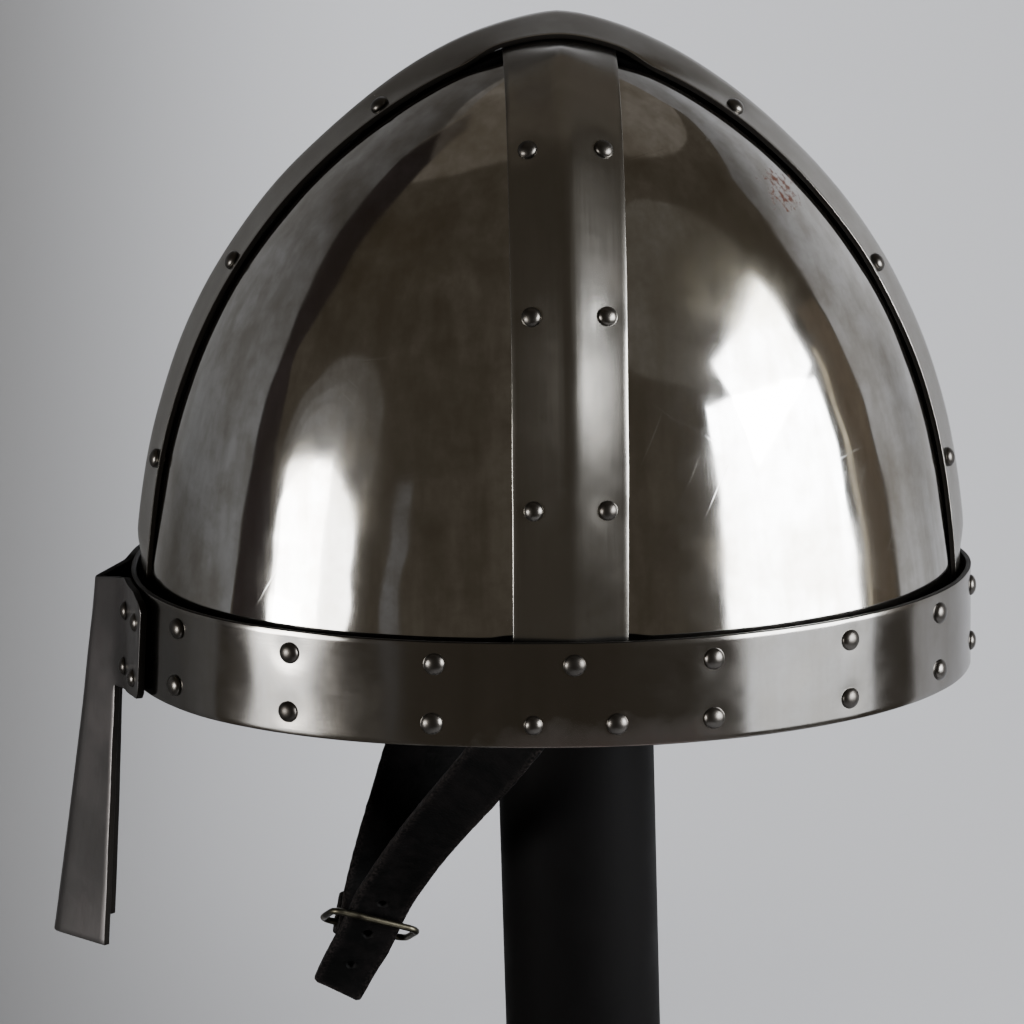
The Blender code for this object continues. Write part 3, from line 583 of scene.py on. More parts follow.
def run_group(piece, name, lay_nodes, values):
    """Put a geometry group on a piece with its named inputs set, then keep the mesh that it makes.
    The group is built at its first use, its inputs named and typed after the values."""
    tree = bpy.data.node_groups.get(name)
    if tree is None:
        tree = bpy.data.node_groups.new(name, "GeometryNodeTree")
        for way, labels in (("INPUT", {"Geometry": None, **values}), ("OUTPUT", {"Geometry": None})):
            for label, value in labels.items():
                kind = {type(None): "Geometry", float: "Float", int: "Int"}.get(type(value), "Material")
                tree.interface.new_socket(label, in_out=way, socket_type="NodeSocket" + kind)
        add = partial(add_node, tree)
        given = tree.nodes.new("NodeGroupInput").outputs
        real = add("GeometryNodeRealizeInstances", lay_nodes(add, given))
        metal = add("GeometryNodeSetMaterial", real, named={"Material": given["Metal"]})
        add("NodeGroupOutput", metal)
    step = piece.modifiers.new(name, "NODES")
    step.node_group = tree
    for item in tree.interface.items_tree:
        if item.in_out == "INPUT" and item.name in values:
            step[item.identifier] = values[item.name]
    piece.update_tag()
    bpy.context.view_layer.update()
    settle(piece)
    piece.data.materials.clear()
    piece.data.polygons.foreach_set("material_index", [0] * len(piece.data.polygons))


def rivet_nodes(add, given):
    """Hand-set rivets on points: domed head, shank and spread tail, each a little different."""
    def dome(radius, height, around, rings):
        """Cone bent into a dome: the share s from its tip sets radius sin(s) and height cos(s)."""
        cone = add("GeometryNodeMeshCone", around, rings, 1, 0.0, 1.0, 1.0, fill_type="NGON")
        flat = add("VectorMath", add("GeometryNodeInputPosition"), (1, 1, 0), operation="MULTIPLY")
        share = add("VectorMath", flat, operation="LENGTH")
        turn = add("MULTIPLY", share, math.pi / 2)
        wide = add("MULTIPLY", add("DIVIDE", add("SINE", turn), add("MAXIMUM", share, 1e-6)), radius)
        plan = add("VectorMath", flat, wide, operation="SCALE")
        lift = add("CombineXYZ", 0.0, 0.0, add("MULTIPLY", add("COSINE", turn), height))
        goal = add("VectorMath", plan, lift, operation="ADD")
        return add("GeometryNodeSetPosition", cone, named={"Position": goal})

    head = dome(given["Head Radius"], given["Head Height"], 22, 6)
    tail = dome(given["Tail Radius"], given["Tail Height"], 14, 3)
    shank = add("GeometryNodeMeshCylinder", 12, 1, 1, given["Shank Radius"], given["Grip"])
    down = add("CombineXYZ", 0.0, 0.0, add("MULTIPLY", given["Grip"], -1.0))
    half = add("CombineXYZ", 0.0, 0.0, add("MULTIPLY", given["Grip"], -0.5))
    tail = add("GeometryNodeTransform", tail, named={
        "Translation": down, "Rotation": (math.pi, 0.0, 0.0)})
    shank = add("GeometryNodeTransform", shank, named={"Translation": half})
    whole = add("GeometryNodeJoinGeometry", [head, tail, shank])
    facing = add("GeometryNodeInputNamedAttribute", "facing", data_type="FLOAT_VECTOR")
    turned = add("FunctionNodeAlignRotationToVector", named={"Vector": facing}, axis="Z")
    uneven = given["Unevenness"]
    size = add("FunctionNodeRandomValue", add("SUBTRACT", 1.0, uneven), add("ADD", 1.0, uneven),
               named={"Seed": given["Seed"]}, data_type="FLOAT")
    return add("GeometryNodeInstanceOnPoints", given["Geometry"], named={
        "Instance": whole, "Rotation": turned, "Scale": add("CombineXYZ", size, 1.0, 1.0)})


def panel_nodes(add, given):
    """Domed plate of one quarter of the crown by the crown rule, with its flared foot and soft waves."""
    position = add("GeometryNodeInputPosition")
    grid = add("GeometryNodeMeshGrid", named={
        "Vertices X": given["Columns"], "Vertices Y": given["Rows"]})
    split = add("SeparateXYZ", position)
    u, v = add("ADD", split, 0.5), add("ADD", split.node.outputs[1], 0.5)

    # The slope angle gives the height by its sine and what is left of the plan by its cosine
    foot = add("POWER", add("DIVIDE", given["Foot Height"], given["Height"]),
               add("DIVIDE", given["Rise Power"], 2.0))
    low, high = add("ARCSINE", foot), add("ARCCOSINE", add("SQRT", given["Top Share"]))
    slope = add("MULTIPLY_ADD", add("POWER", v, 1.4), add("SUBTRACT", high, low), low)
    z = add("MULTIPLY", given["Height"],
            add("POWER", add("SINE", slope), add("DIVIDE", 2.0, given["Rise Power"])))
    left = add("POWER", add("COSINE", slope), 2.0)
    short = add("POWER", left, add("DIVIDE", 1.0, given["Length Power"]))
    slim = add("POWER", left, add("DIVIDE", 1.0, given["Width Power"]))
    length = add("MULTIPLY", given["Half Length"], short)
    width = add("MULTIPLY", given["Half Width"], slim)

    # The rim runs at the inset beside each strap's middle
    half_power = add("DIVIDE", given["Plan Power"], 2.0)
    first = add("ARCSINE", add("POWER", add("DIVIDE", given["Inset"], width), half_power))
    last = add("ARCCOSINE", add("POWER", add("DIVIDE", given["Inset"], length), half_power))
    angle = add("MULTIPLY_ADD", u, add("SUBTRACT", last, first), first)
    power = add("DIVIDE", 2.0, given["Plan Power"])
    forth, aside = add("POWER", add("COSINE", angle), power), add("POWER", add("SINE", angle), power)

    # The foot flares out, clear of the straps
    start, grow = given["Side Start"], given["Flare"]
    end = add("ADD", start, given["Side Ease"])
    for value, none, full in ((z, given["Flare Top"], given["Flare Full"]),
                              (add("MULTIPLY", length, forth), start, end),
                              (add("MULTIPLY", width, aside), start, end)):
        grow = add("MULTIPLY", grow, add("MapRange", value, none, full, interpolation_type="SMOOTHSTEP"))
    x = add("MULTIPLY", add("MULTIPLY", add("ADD", given["Half Length"], grow), short), forth)
    y = add("MULTIPLY", add("MULTIPLY", add("ADD", given["Half Width"], grow), slim), aside)
    goal = add("CombineXYZ", add("MULTIPLY", x, given["Towards X"]),
               add("MULTIPLY", y, given["Towards Y"]), z)
    shaped = add("GeometryNodeSetPosition", grid, named={"Position": goal})

    # Soft waves and upright streaks left by planishing
    spot = add("VectorMath", position, add("CombineXYZ", *[given["Seed"]] * 3), operation="ADD")
    tall = add("VectorMath", spot, (1.0, 1.0, 0.25), operation="MULTIPLY")
    lift = 0.0
    for place, finer, detail, height in ((spot, 1.0, 2.0, "Wave Height"),
                                         (tall, 2.6, 1.0, "Streak Height")):
        wave = add("TexNoise", place, add("DIVIDE", finer, given["Wave Length"]), detail)
        lift = add("MULTIPLY_ADD", add("SUBTRACT", wave, 0.5), given[height], lift)
    push = add("VectorMath", add("GeometryNodeInputNormal"), lift, operation="SCALE")
    waved = add("GeometryNodeSetPosition", shaped, named={"Offset": push})
    flat = add("CombineXYZ", add("MULTIPLY", angle, given["Half Length"]),
               add("MULTIPLY", slope, given["Height"]))
    return add("GeometryNodeStoreNamedAttribute", waved, named={"Name": "UVMap", "Value": flat},
               data_type="FLOAT2", domain="CORNER")


# ---------------------------------------------------------------- materials

def srgb(code):
    """Linear colour of a hex code."""
    parts = [int(code[k:k + 2], 16) / 255 for k in (1, 3, 5)]
    return (*[c / 12.92 if c <= 0.04045 else ((c + 0.055) / 1.055) ** 2.4 for c in parts], 1.0)


def new_material(name):
    """Empty material, and what adds a node to it."""
    material = bpy.data.materials.new(name)
    material.use_nodes = True
    material.node_tree.nodes.clear()
    return material, partial(add_node, material.node_tree)


def finished(material, add, surface, stage=False):
    """Close a material with its surface. A stage surface is left out where it is seen from its back,
    so that it never hides the helmet."""
    shader = add("BsdfPrincipled", named=surface)
    if stage:
        shader = add("MixShader", add("NewGeometry", out="Backfacing"), shader, add("BsdfTransparent"))
    add("OutputMaterial", shader)
    return material


def worn_steel(name, tone, stain, rough, bloom, grain, brush, scratch_share=1.0, marks=()):
    """Bare mild steel. Tone and stain are its clean and dulled colours, rough and bloom its smooth and
    hazy roughness, grain the (across, along) size of the brushing in metres and brush its depth. Marks
    are local stains: (colour, place, reach, speck size, share covered, softness, roughness added, and
    how far the stain hides the metal)."""
    material, add = new_material(name)
    place = add("TexCoord", out="Object")
    tone, stain = srgb(tone), srgb(stain)
    cloud = add("MapRange", add("TexNoise", place, 1 / CLOUD_SIZE, 5.0, 0.62), 0.42, 0.74)
    mottle = add("TexNoise", place, 1 / MOTTLE_SIZE, 4.0, 0.65)
    along = add("Mapping", add("TexCoord", out="UV"), named={"Scale": (1 / grain[0], 1 / grain[1], 1.0)})
    strokes = add("TexNoise", along, 1.0, 3.0)

    # Film of upright streaks left by wiping
    film = add("Mapping", place, named={"Scale": [1 / size for size in FILM_SIZE]})
    film = add("MapRange", add("TexNoise", film, 1.0, 3.0, 0.55), 0.40, 0.65)

    # Hairline scratches in loose clusters, in three directions
    cluster = add("MapRange", add("TexNoise", place, 1 / CLUSTER_SIZE, 2.0, 0.55), 0.5, 0.62)
    scratch = 0.0
    for turn, size in SCRATCHES:
        slant = add("Mapping", place, vector_type="TEXTURE", named={
            "Rotation": (0.3 * turn, turn, 0.4 * turn), "Scale": size})
        lines = add("TexNoise", slant, 1.0, 1.0, named={"Distortion": 0.4})
        scratch = add("MAXIMUM", add("MapRange", lines, 0.70, 0.78), scratch)
    scratch = add("MULTIPLY", add("MULTIPLY", scratch, cluster), scratch_share)

    haze = add("MapRange", cloud, 0.0, 1.0, rough, bloom)
    haze = add("ADD", add("MapRange", mottle, 0.3, 0.7, -0.010, 0.014), haze)
    haze = add("ADD", add("MapRange", strokes, 0.3, 0.7, -0.006, 0.008), haze)
    haze = add("MULTIPLY_ADD", scratch, 0.08, haze)
    haze = add("MULTIPLY_ADD", film, 0.015, haze)
    colour, metal = tone, 1.0
    for share in (cloud, add("MULTIPLY", film, 0.45), add("MapRange", mottle, 0.45, 0.75, 0.0, 0.35)):
        colour = add("Mix", share, colour, stain, data_type="RGBA")
    for shade, centre, reach, speck, share, soft, dull, crust in marks:
        offset = add("VectorMath", place, centre, operation="SUBTRACT")
        shrunk = add("VectorMath", offset, [1 / size for size in reach], operation="MULTIPLY")
        near = add("MapRange", add("VectorMath", shrunk, operation="LENGTH"), 1.0, 0.25)
        level = add("MULTIPLY_ADD", near, -share, 0.78)
        spot = add("SUBTRACT", add("TexNoise", place, 1 / speck, 5.0, 0.7), level)
        spot = add("MULTIPLY", add("MapRange", spot, 0.0, soft), add("MapRange", near, 0.0, 0.2))
        colour = add("Mix", spot, colour, srgb(shade), data_type="RGBA")
        haze = add("MULTIPLY_ADD", spot, dull, haze)
        metal = add("MULTIPLY_ADD", spot, -crust, metal)

    # Sheared edges and inner faces keep the mill's dark skin; the same dark colour is also painted shade
    # for the shadowed gaps beside the edges
    skin_and_shade_share = add("Attribute", attribute_name="unpolished", out="Fac")
    colour = add("Mix", skin_and_shade_share, colour, srgb("#1C1A18"), data_type="RGBA")
    haze = add("MULTIPLY_ADD", skin_and_shade_share, 0.4, haze)
    bump = add("Bump", named={"Strength": 1.0, "Distance": brush, "Height": strokes})
    bump = add("Bump", invert=True, named={
        "Strength": 1.0, "Distance": SCRATCH_DEPTH, "Height": scratch, "Normal": bump})
    return finished(material, add, {
        "Base Color": colour, "Metallic": metal, "Roughness": haze, "Normal": bump})


def leather_material():
    """Harness leather dyed black and worn: near black with a low sheen, small grain and creases, and
    paler dry fibres along the cut edges."""
    material, add = new_material("black_harness_leather")
    place = add("TexCoord", out="Object")
    grain = add("TexVoronoi", place, 900.0)
    folds = add("TexNoise", place, 120.0, 6.0, 0.7)
    fibres = add("TexNoise", place, 1500.0, 3.0)
    fray = add("MULTIPLY", add("Attribute", attribute_name="cut_edge", out="Fac"),
               add("MapRange", fibres, 0.45, 0.62))
    colour = add("Mix", add("MapRange", folds, 0.42, 0.72), srgb("#060606"), srgb("#100E0E"),
                 data_type="RGBA")
    colour = add("Mix", fray, colour, srgb("#231F1E"), data_type="RGBA")
    bump = add("Bump", named={"Strength": 0.6, "Distance": 0.00012, "Height": grain})
    bump = add("Bump", named={"Strength": 0.8, "Distance": 0.0005, "Height": folds, "Normal": bump})
    return finished(material, add, {
        "Base Color": colour, "Roughness": add("MapRange", folds, 0.3, 0.7, 0.48, 0.72),
        "Specular IOR Level": 0.05, "Normal": bump})


def brass_material():
    """Drawn brass wire gone dull: brown tarnish in patches, with the yellow metal rubbed bright between
    them.
    """
    material, add = new_material("tarnished_brass_wire")
    place = add("TexCoord", out="Object")
    patches = add("TexNoise", place, 220.0, 4.0)
    colour = add("Mix", add("MapRange", patches, 0.4, 0.62), srgb("#625E50"), srgb("#24211B"),
                 data_type="RGBA")
    return finished(material, add, {
        "Base Color": colour, "Metallic": 1.0,
        "Roughness": add("MapRange", patches, 0.35, 0.65, 0.28, 0.5),
        "Normal": add("Bump", named={"Strength": 0.4, "Distance": 0.0001, "Height": patches})})


def stand_material():
    """Turned wood under matt black paint: an even near-black coat with faint grain and a soft sheen."""
    material, add = new_material("matt_black_painted_wood")
    place = add("TexCoord", out="Object")
    grain = add("TexNoise", add("Mapping", place, named={"Scale": (500.0, 500.0, 30.0)}), 1.0, 3.0)
    brushed = add("TexNoise", place, 60.0, 4.0)
    return finished(material, add, {
        "Base Color": add("Mix", brushed, srgb("#040404"), srgb("#090808"), data_type="RGBA"),
        "Roughness": add("MapRange", brushed, 0.3, 0.7, 0.5, 0.68), "Specular IOR Level": 0.035,
        "Normal": add("Bump", named={"Strength": 0.35, "Distance": 0.00008, "Height": grain})})


def wall_material():
    """Studio paper, matt and pale grey, with painted shade that makes it darker to the left and high up,
    and painted light that makes it palest far to the right, where the panels mirror it."""
    material, add = new_material("studio_paper_painted_shade")
    place = add("TexCoord", out="Object")
    across = add("SeparateXYZ", place)
    colour = srgb("#6F6E6D")
    # Painted shade to the left and painted light far to the right
    for start, end, tone in ((-0.27, -0.02, "#D5D6DA"), (0.35, 0.75, "#F4F4F6")):
        share = add("MapRange", across, start, end, interpolation_type="SMOOTHSTEP")
        colour = add("Mix", share, colour, srgb(tone), data_type="RGBA")
    # Painted shade: darker high up
    high = add("MapRange", across.node.outputs[2], 0.45, 0.95, 0.0, 0.75)
    colour = add("Mix", high, colour, srgb("#4A4744"), data_type="RGBA")
    return finished(material, add, {
        "Base Color": colour, "Roughness": 0.85, "Specular IOR Level": 0.2}, stage=True)


def cloth_material():
    """Black molton cloth: it takes up nearly all the light."""
    material, add = new_material("black_molton_cloth")
    return finished(material, add, {
        "Base Color": srgb("#2C2624"), "Roughness": 0.95, "Specular IOR Level": 0.1}, stage=True)


# ---------------------------------------------------------------- helmet pieces

def make_strap(run, material, rivets):
    half = STRAP_WIDTH / 2
    foot = math.atan2(FOOT_HEIGHT, CROWN_HALF_WIDTH)
    share, across = (np.linspace(-1.0, 1.0, steps) for steps in STRAP_STEPS)
    angle = math.pi / 2 + (math.pi / 2 - foot) * (0.6 * share + 0.4 * share ** 3)
    middle = strap_skin(run, angle, 0.0)
    edge = 1.0 + ripple(middle, *STRAP_EDGE_WAVE, 3 if run == "crest" else 5)
    offset = half * across[None, :] * edge[:, None]
    grid = strap_underside(run, angle[:, None], offset)
    normal = normals_of(partial(strap_skin, run), angle[:, None], offset, 0.004, 0.0002)
    seed = 7 if run == "crest" else 9
    grid = hammered(grid, normal, STRAP_SHEET, rivets, STRAP_WAVE, seed, STRAP_REST)
    run_length = travelled(middle)
    uv = stacked(offset, run_length[:, None])
    piece = new_object(run + "_strap_steel", sheet_mesh(run + "_strap", grid, uv))
    thicken(piece, STRAP_SHEET, 1.0, STEEL_EDGE)
    keep_piece(settle(piece), material, [run + "_strap"])


def even_angles(count):
    """Angles of points that lie at even steps round the rim, with the first again at the end."""
    turn = np.linspace(0.0, 2 * math.pi, 2881)
    x, y = round_plan(turn, BAND_LEVEL)
    run_length = travelled(np.stack((x, y), -1))
    goals = np.linspace(0.0, run_length[-1], count + 1)
    return np.interp(goals, run_length, turn), goals


def make_band(material, rivets):
    turn, run_length = even_angles(BAND_STEPS[1])
    heights = np.linspace(0.0, BAND_HEIGHT, BAND_STEPS[0])
    grid = band_point(turn[None, :-1], heights[:, None], BAND_LEVEL)
    normal = normals_of(partial(band_point, level=BAND_LEVEL), turn[None, :-1], heights[:, None],
                        0.01, 0.001)
    grid = hammered(grid, normal, BAND_SHEET, rivets, BAND_WAVE, 12, BAND_REST, BAND_DENT_SHARE)
    uv = stacked(heights[:, None], run_length[None, :])
    piece = new_object("brow_band_steel", sheet_mesh("brow_band", grid, uv, closed=True))
    thicken(piece, BAND_SHEET, 1.0, STEEL_EDGE, edge_material=1)
    keep_piece(settle(piece), material, ["brow_band"])


def make_panel(end, hand, material, seed):
    front, left = end == "front", hand == "left"
    name = f"panel_{end}_{hand}"
    piece = new_object(name + "_steel", bpy.data.meshes.new(name))
    run_group(piece, "crown_panel", panel_nodes, {
        "Half Length": CROWN_FRONT if front else CROWN_BACK, "Half Width": CROWN_HALF_WIDTH,
        "Plan Power": PLAN_POWER_FRONT if front else PLAN_POWER_BACK, "Height": CROWN_HEIGHT,
        "Rise Power": RISE_POWER, "Length Power": LENGTH_POWER, "Width Power": WIDTH_POWER,
        "Inset": PANEL_INSET, "Foot Height": FOOT_HEIGHT, "Top Share": PANEL_TOP_SHARE,
        "Flare": FLARE_SHARE * (BAND_LEVEL - BAND_TAPER - FLARE_CLEARANCE), "Flare Full": FLARE_FULL,
        "Flare Top": FLARE_TOP, "Side Start": FLARE_START, "Side Ease": FLARE_SIDE_EASE,
        "Towards X": -1.0 if front else 1.0,
        "Towards Y": -1.0 if left else 1.0, "Columns": 64, "Rows": 88, "Wave Height": 0.0005,
        "Wave Length": 0.034, "Streak Height": 0.00013, "Seed": seed, "Metal": material})
    changed(piece.data, face_out)
    thicken(piece, PANEL_SHEET, -1.0, STEEL_EDGE, edge_material=1)
    keep_piece(settle(piece), material, [name])


def make_nasal(material):
    """Bar with a ridge and two lugs. Columns run from the ridge over the bend to the lug's end."""
    top, bottom = BAND_HEIGHT - LUG_TOP_DROP, -LUG_BOTTOM_DROP
    face = CROWN_FRONT + LUG_LEVEL + NASAL_SHEET
    bar, bend, wing = (np.linspace(0.0, 1.0, steps) for steps in NASAL_STEPS)
    bend, wing = bend[1:], wing[1:]
    lug_share = np.concatenate((np.zeros(len(bar) + len(bend)), wing))
    level_share = np.concatenate((bar, np.ones(len(bend) + len(wing))))
    count, bar_count = len(lug_share), len(bar)
    blend = NASAL_HALF_TOP + LUG_BLEND

    # Heights of the lug's upper and lower edges, with its rounded corner, and the rows between them
    top_z = top - NASAL_TOP_DIP * (1.0 - 0.7 * level_share) * (np.arange(count) < bar_count + 2)
    top_z = top_z - LUG_CORNER_DROP * smooth((lug_share - 0.6) / 0.4)
    y_top = blend + (LUG_HALF_TOP - blend) * lug_share
    over = np.maximum(y_top - (LUG_HALF_TOP - LUG_CORNER), 0.0)
    round_off = LUG_CORNER - np.sqrt(np.maximum(LUG_CORNER ** 2 - over ** 2, 0.0))
    top_z = top_z - round_off
    bottom_z = bottom - LUG_BOTTOM_SLOPE * (1.0 - lug_share) + round_off * 0.8
    lug_count = NASAL_ROWS[0]
    lug_rows, bar_rows = (np.linspace(0.0, 1.0, steps) for steps in NASAL_ROWS)
    rows = [top_z + (bottom_z - top_z) * share for share in lug_rows]
    rows += [bottom_z + (-NASAL_DROP - bottom_z) * share for share in bar_rows[1:]]
    z = np.array(rows)

    # The bar from its ridge to its edge, the bend between bar and band, and the lug over the band
    down = BAND_HEIGHT - z
    half = NASAL_HALF_TOP + (NASAL_HALF_BOTTOM - NASAL_HALF_TOP) * smooth(-z / NASAL_DROP) ** 0.7
    ridge_x = -face - NASAL_RIDGE_LEAD - down * NASAL_RIDGE_LEAN - down ** 2 * NASAL_RIDGE_CURL
    edge_x = -face - NASAL_EDGE_LEAD - down * NASAL_EDGE_LEAN
    reach = LUG_HALF_BOTTOM + (LUG_HALF_TOP - LUG_HALF_BOTTOM) * np.clip(z / BAND_HEIGHT, 0.0, 1.0)
    grid = lug_point(blend + (reach - blend) * lug_share[None, :], z).copy()
    x, y = grid[..., 0], grid[..., 1]
    x[:, :bar_count] = ridge_x[:, :bar_count] + (edge_x - ridge_x)[:, :bar_count] * bar
    y[:, :bar_count] = half[:, :bar_count] * bar
    for j, share in enumerate(bend, bar_count):
        goal = lug_point(np.full(len(z), blend), z[:, j])
        x[:, j] = edge_x[:, j] + (goal[:, 0] - edge_x[:, j]) * share
        y[:, j] = half[:, j] + (goal[:, 1] - half[:, j]) * share
    grid = np.concatenate((grid[:, :0:-1] * np.array((1.0, -1.0, 1.0)), grid), axis=1)
    middle = count - 1
    first, last = middle - bar_count + 1, middle + bar_count
    for _ in range(2):
        for part in (grid[:lug_count], grid[lug_count:, first:last]):
            part[:, 1:-1] = (part[:, :-2] + 2 * part[:, 1:-1] + part[:, 2:]) / 4
    grid[..., 0] -= ripple(grid, *NASAL_WAVE, 21)
    lift = LUG_LIFT * smooth((np.abs(grid[:lug_count, :, 1]) - LUG_HALF_TOP * 0.72) / 0.010)
    out = grid[:lug_count] * np.array((1.0, 1.0, 0.0))
    grid[:lug_count] += out / np.linalg.norm(out, axis=-1, keepdims=True) * lift[..., None]
    uv = stacked(travelled(grid[0])[None, :], np.linspace(0.0, NASAL_LENGTH, len(z))[:, None])

    def keep(i, j):
        return i < lug_count - 1 or first <= j < last - 1

    data = sheet_mesh("nasal", grid, uv, centre=(0, 0, -NASAL_DROP / 2), keep=keep)
    piece = new_object("nasal_steel", data)
    thicken(piece, NASAL_SHEET, -1.0, STEEL_EDGE * 1.4)
    keep_piece(settle(piece), material, ["nasal"])


def make_rivets(name, places, grip, material, nodes, seed, radius=HEAD_RADIUS):
    """One set of rivets, each standing on its place along its facing."""
    data = bpy.data.meshes.new(name)
    data.from_pydata([tuple(place) for place, _ in places], [], [])
    facing = data.attributes.new("facing", "FLOAT_VECTOR", "POINT")
    facing.data.foreach_set("vector", np.concatenate([normal for _, normal in places]))
    piece = new_object(name, data)
    run_group(piece, "hand_set_rivets", rivet_nodes, {
        "Head Radius": radius, "Head Height": HEAD_HEIGHT, "Shank Radius": SHANK_RADIUS,
        "Tail Radius": TAIL_RADIUS, "Tail Height": TAIL_HEIGHT, "Grip": grip, "Unevenness": 0.05,
        "Seed": seed, "Metal": material})
    keep_piece(piece, material, nodes)


# ---------------------------------------------------------------- chin strap and buckle

def buckle_axes():
    """Axes and bars of the buckle: across the strap, along it, its normal and the two bars' middles."""
    across = Vector(BUCKLE_ACROSS).normalized()
    along = Vector(BUCKLE_ALONG)
    along = (along - across * along.dot(across)).normalized()
    centre = Vector((-BUCKLE_FORWARD, 0, -BUCKLE_DROP))
    half = along * BUCKLE_SPAN / 2
    return across, along, across.cross(along), centre - half, centre + half


def curve_point(t, start, start_pull, end, end_pull):
    """Place at a share t of a smooth curve between two places with given pulls."""
    return (start * (2 * t ** 3 - 3 * t ** 2 + 1) + start_pull * (t ** 3 - 2 * t ** 2 + t)
            + end * (3 * t ** 2 - 2 * t ** 3) + end_pull * (t ** 3 - t ** 2))


def curve_points(*ends):
    """Nine points of such a curve, without its last one."""
    return [curve_point(index / 9, *ends) for index in range(9)]


def chin_anchor(side):
    """Middle of the leather at its rivet, and the way in which it leaves the helmet."""
    spot = chin_rivet(side)[0]
    return Vector((spot[0], side * (CROWN_HALF_WIDTH + CHIN_LEVEL), spot[2])), Vector((-0.62, 0, -0.78))


def left_path():
    """Middle line of the free length: rivet, fall to the buckle, between its bars, and tip."""
    across, along, normal, front_bar, rear_bar = buckle_axes()
    front = BUCKLE_WIRE / 2 + BUCKLE_PLAY + LEATHER / 2
    rear = front + LEATHER + GAP
    swing = math.asin((front + rear) / BUCKLE_SPAN)
    heading = along * math.cos(swing) - normal * math.sin(swing)
    facing = along * math.sin(swing) + normal * math.cos(swing)
    entry = front_bar + facing * front
    leave = rear_bar - facing * rear
    anchor, fall = chin_anchor(-1)
    below = anchor + fall * LEATHER_TAB
    points = [anchor - fall * LEATHER_TAB, anchor]
    before = entry - heading * 0.004
    run = before - below
    points += curve_points(below, run, before, run.lerp(heading * run.length, 0.5))
    tip = leave + heading * FREE_TIP - Vector((TIP_SWAY, 0, TIP_DROOP))
    points += [before, entry, leave, (leave + tip) / 2 + Vector((0, 0, TIP_DROOP / 4)), tip]
    return points, Vector((0.78, 0, -0.62)), across, Vector(TIP_ACROSS) * TIP_WIDTH_SHARE


def right_path():
    """Middle line of the buckle's length: fold round the rear bar, hanging bow, and rivet."""
    across, along, normal, _, rear_bar = buckle_axes()
    wrap = BUCKLE_WIRE / 2 + BUCKLE_PLAY + LEATHER / 2
    points = [rear_bar + along * wrap + normal * FOLD_BACK]
    for index in range(9):
        turn = math.pi * index / 8
        points.append(rear_bar + along * wrap * math.cos(turn) - normal * wrap * math.sin(turn))
    start = rear_bar - along * wrap + normal * FOLD_BACK
    anchor, fall = chin_anchor(1)
    below = anchor + fall * LEATHER_TAB
    rise = (below - start).length
    lift = normal * rise * 0.5 + Vector((0, 0.3, -0.2)) * HANG_BOW
    points += curve_points(start, lift, below, -fall * rise * 0.6)
    points += [below, anchor, anchor - fall * LEATHER_TAB]
    return points, across, Vector((0.78, 0, -0.62)), None


def width_rows(points, first_width, last_width, tip):
    """Half-width vector at each point: it turns from one direction to the next, then to the tip's."""
    run_length = travelled(np.array(points))
    widths = []
    for index in range(len(points)):
        ahead = points[min(index + 1, len(points) - 1)] - points[max(index - 1, 0)]
        heading = ahead.normalized()
        width = first_width.lerp(last_width, float(smooth(run_length[index] / run_length[-1] * 1.3)))
        width = (width - heading * width.dot(heading)).normalized()
        if tip is not None:
            near_end = (run_length[index] - run_length[-1]) / FREE_TIP + 1.0
            width = width.lerp(tip, float(smooth(near_end)))
        widths.append(width * LEATHER_WIDTH / 2)
    return np.array(widths), run_length


def refine(values, run_length, goals):
    """Smooth curve through values given along a run, taken at other distances."""
    slopes = np.gradient(values, run_length, axis=0)
    index = np.clip(np.searchsorted(run_length, goals, side="right") - 1, 0, len(run_length) - 2)
    step = run_length[index + 1] - run_length[index]
    t = ((goals - run_length[index]) / step)[:, None]
    step = step[:, None]
    pulls = slopes[index] * step, slopes[index + 1] * step
    return curve_point(t, values[index], pulls[0], values[index + 1], pulls[1])


def make_chin_strap(name, path, seed, widen):
    """Cut leather ribbon along its path, a little cupped, with uneven edges. It may widen to its end."""
    points, first_width, last_width, tip = path
    widths, run_length = width_rows(points, first_width, last_width, tip)
    goals = np.linspace(0.0, run_length[-1], int(run_length[-1] / LEATHER_ROW))
    line = refine(np.array(points), run_length, goals)
    width = refine(widths, run_length, goals)
    across = np.linspace(-1.0, 1.0, LEATHER_STEPS)
    fine, slow = LEATHER_EDGE_WAVES
    fray = 1.0 + ripple(line, *fine, seed) + ripple(line, *slow, seed + 1) - LEATHER_TRIM
    from_end = np.minimum(goals, goals[-1] - goals)
    corner = np.clip(1.0 - from_end / LEATHER_CORNER, 0.0, 1.0)
    fray = fray - LEATHER_CORNER_TRIM * (1.0 - np.sqrt(1.0 - corner ** 2))
    heading = np.gradient(line, axis=0)
    facing = np.cross(heading, width)
    facing /= np.linalg.norm(facing, axis=1, keepdims=True)
    flare = widen * smooth((goals / goals[-1] - 0.25) / 0.45)
    side = across[None, :] + np.clip(across, -0.15, 1.0)[None, :] * flare[:, None]
    grid = line[:, None, :] + width[:, None, :] * (side * fray[:, None])[..., None]
    cup = (np.abs(across) ** 3 * LEATHER_CUP)[None, :] + ripple(grid, *LEATHER_WAVE, seed + 2)
    grid = grid + facing[:, None, :] * cup[..., None]
    uv = stacked(across[None, :] * LEATHER_WIDTH / 2, goals[:, None])
    piece = new_object(name + "_leather", sheet_mesh(name, grid, uv))
    thicken(piece, LEATHER * LEATHER_CORE, 0.0, LEATHER_EDGE, 3)
    return settle(piece), grid


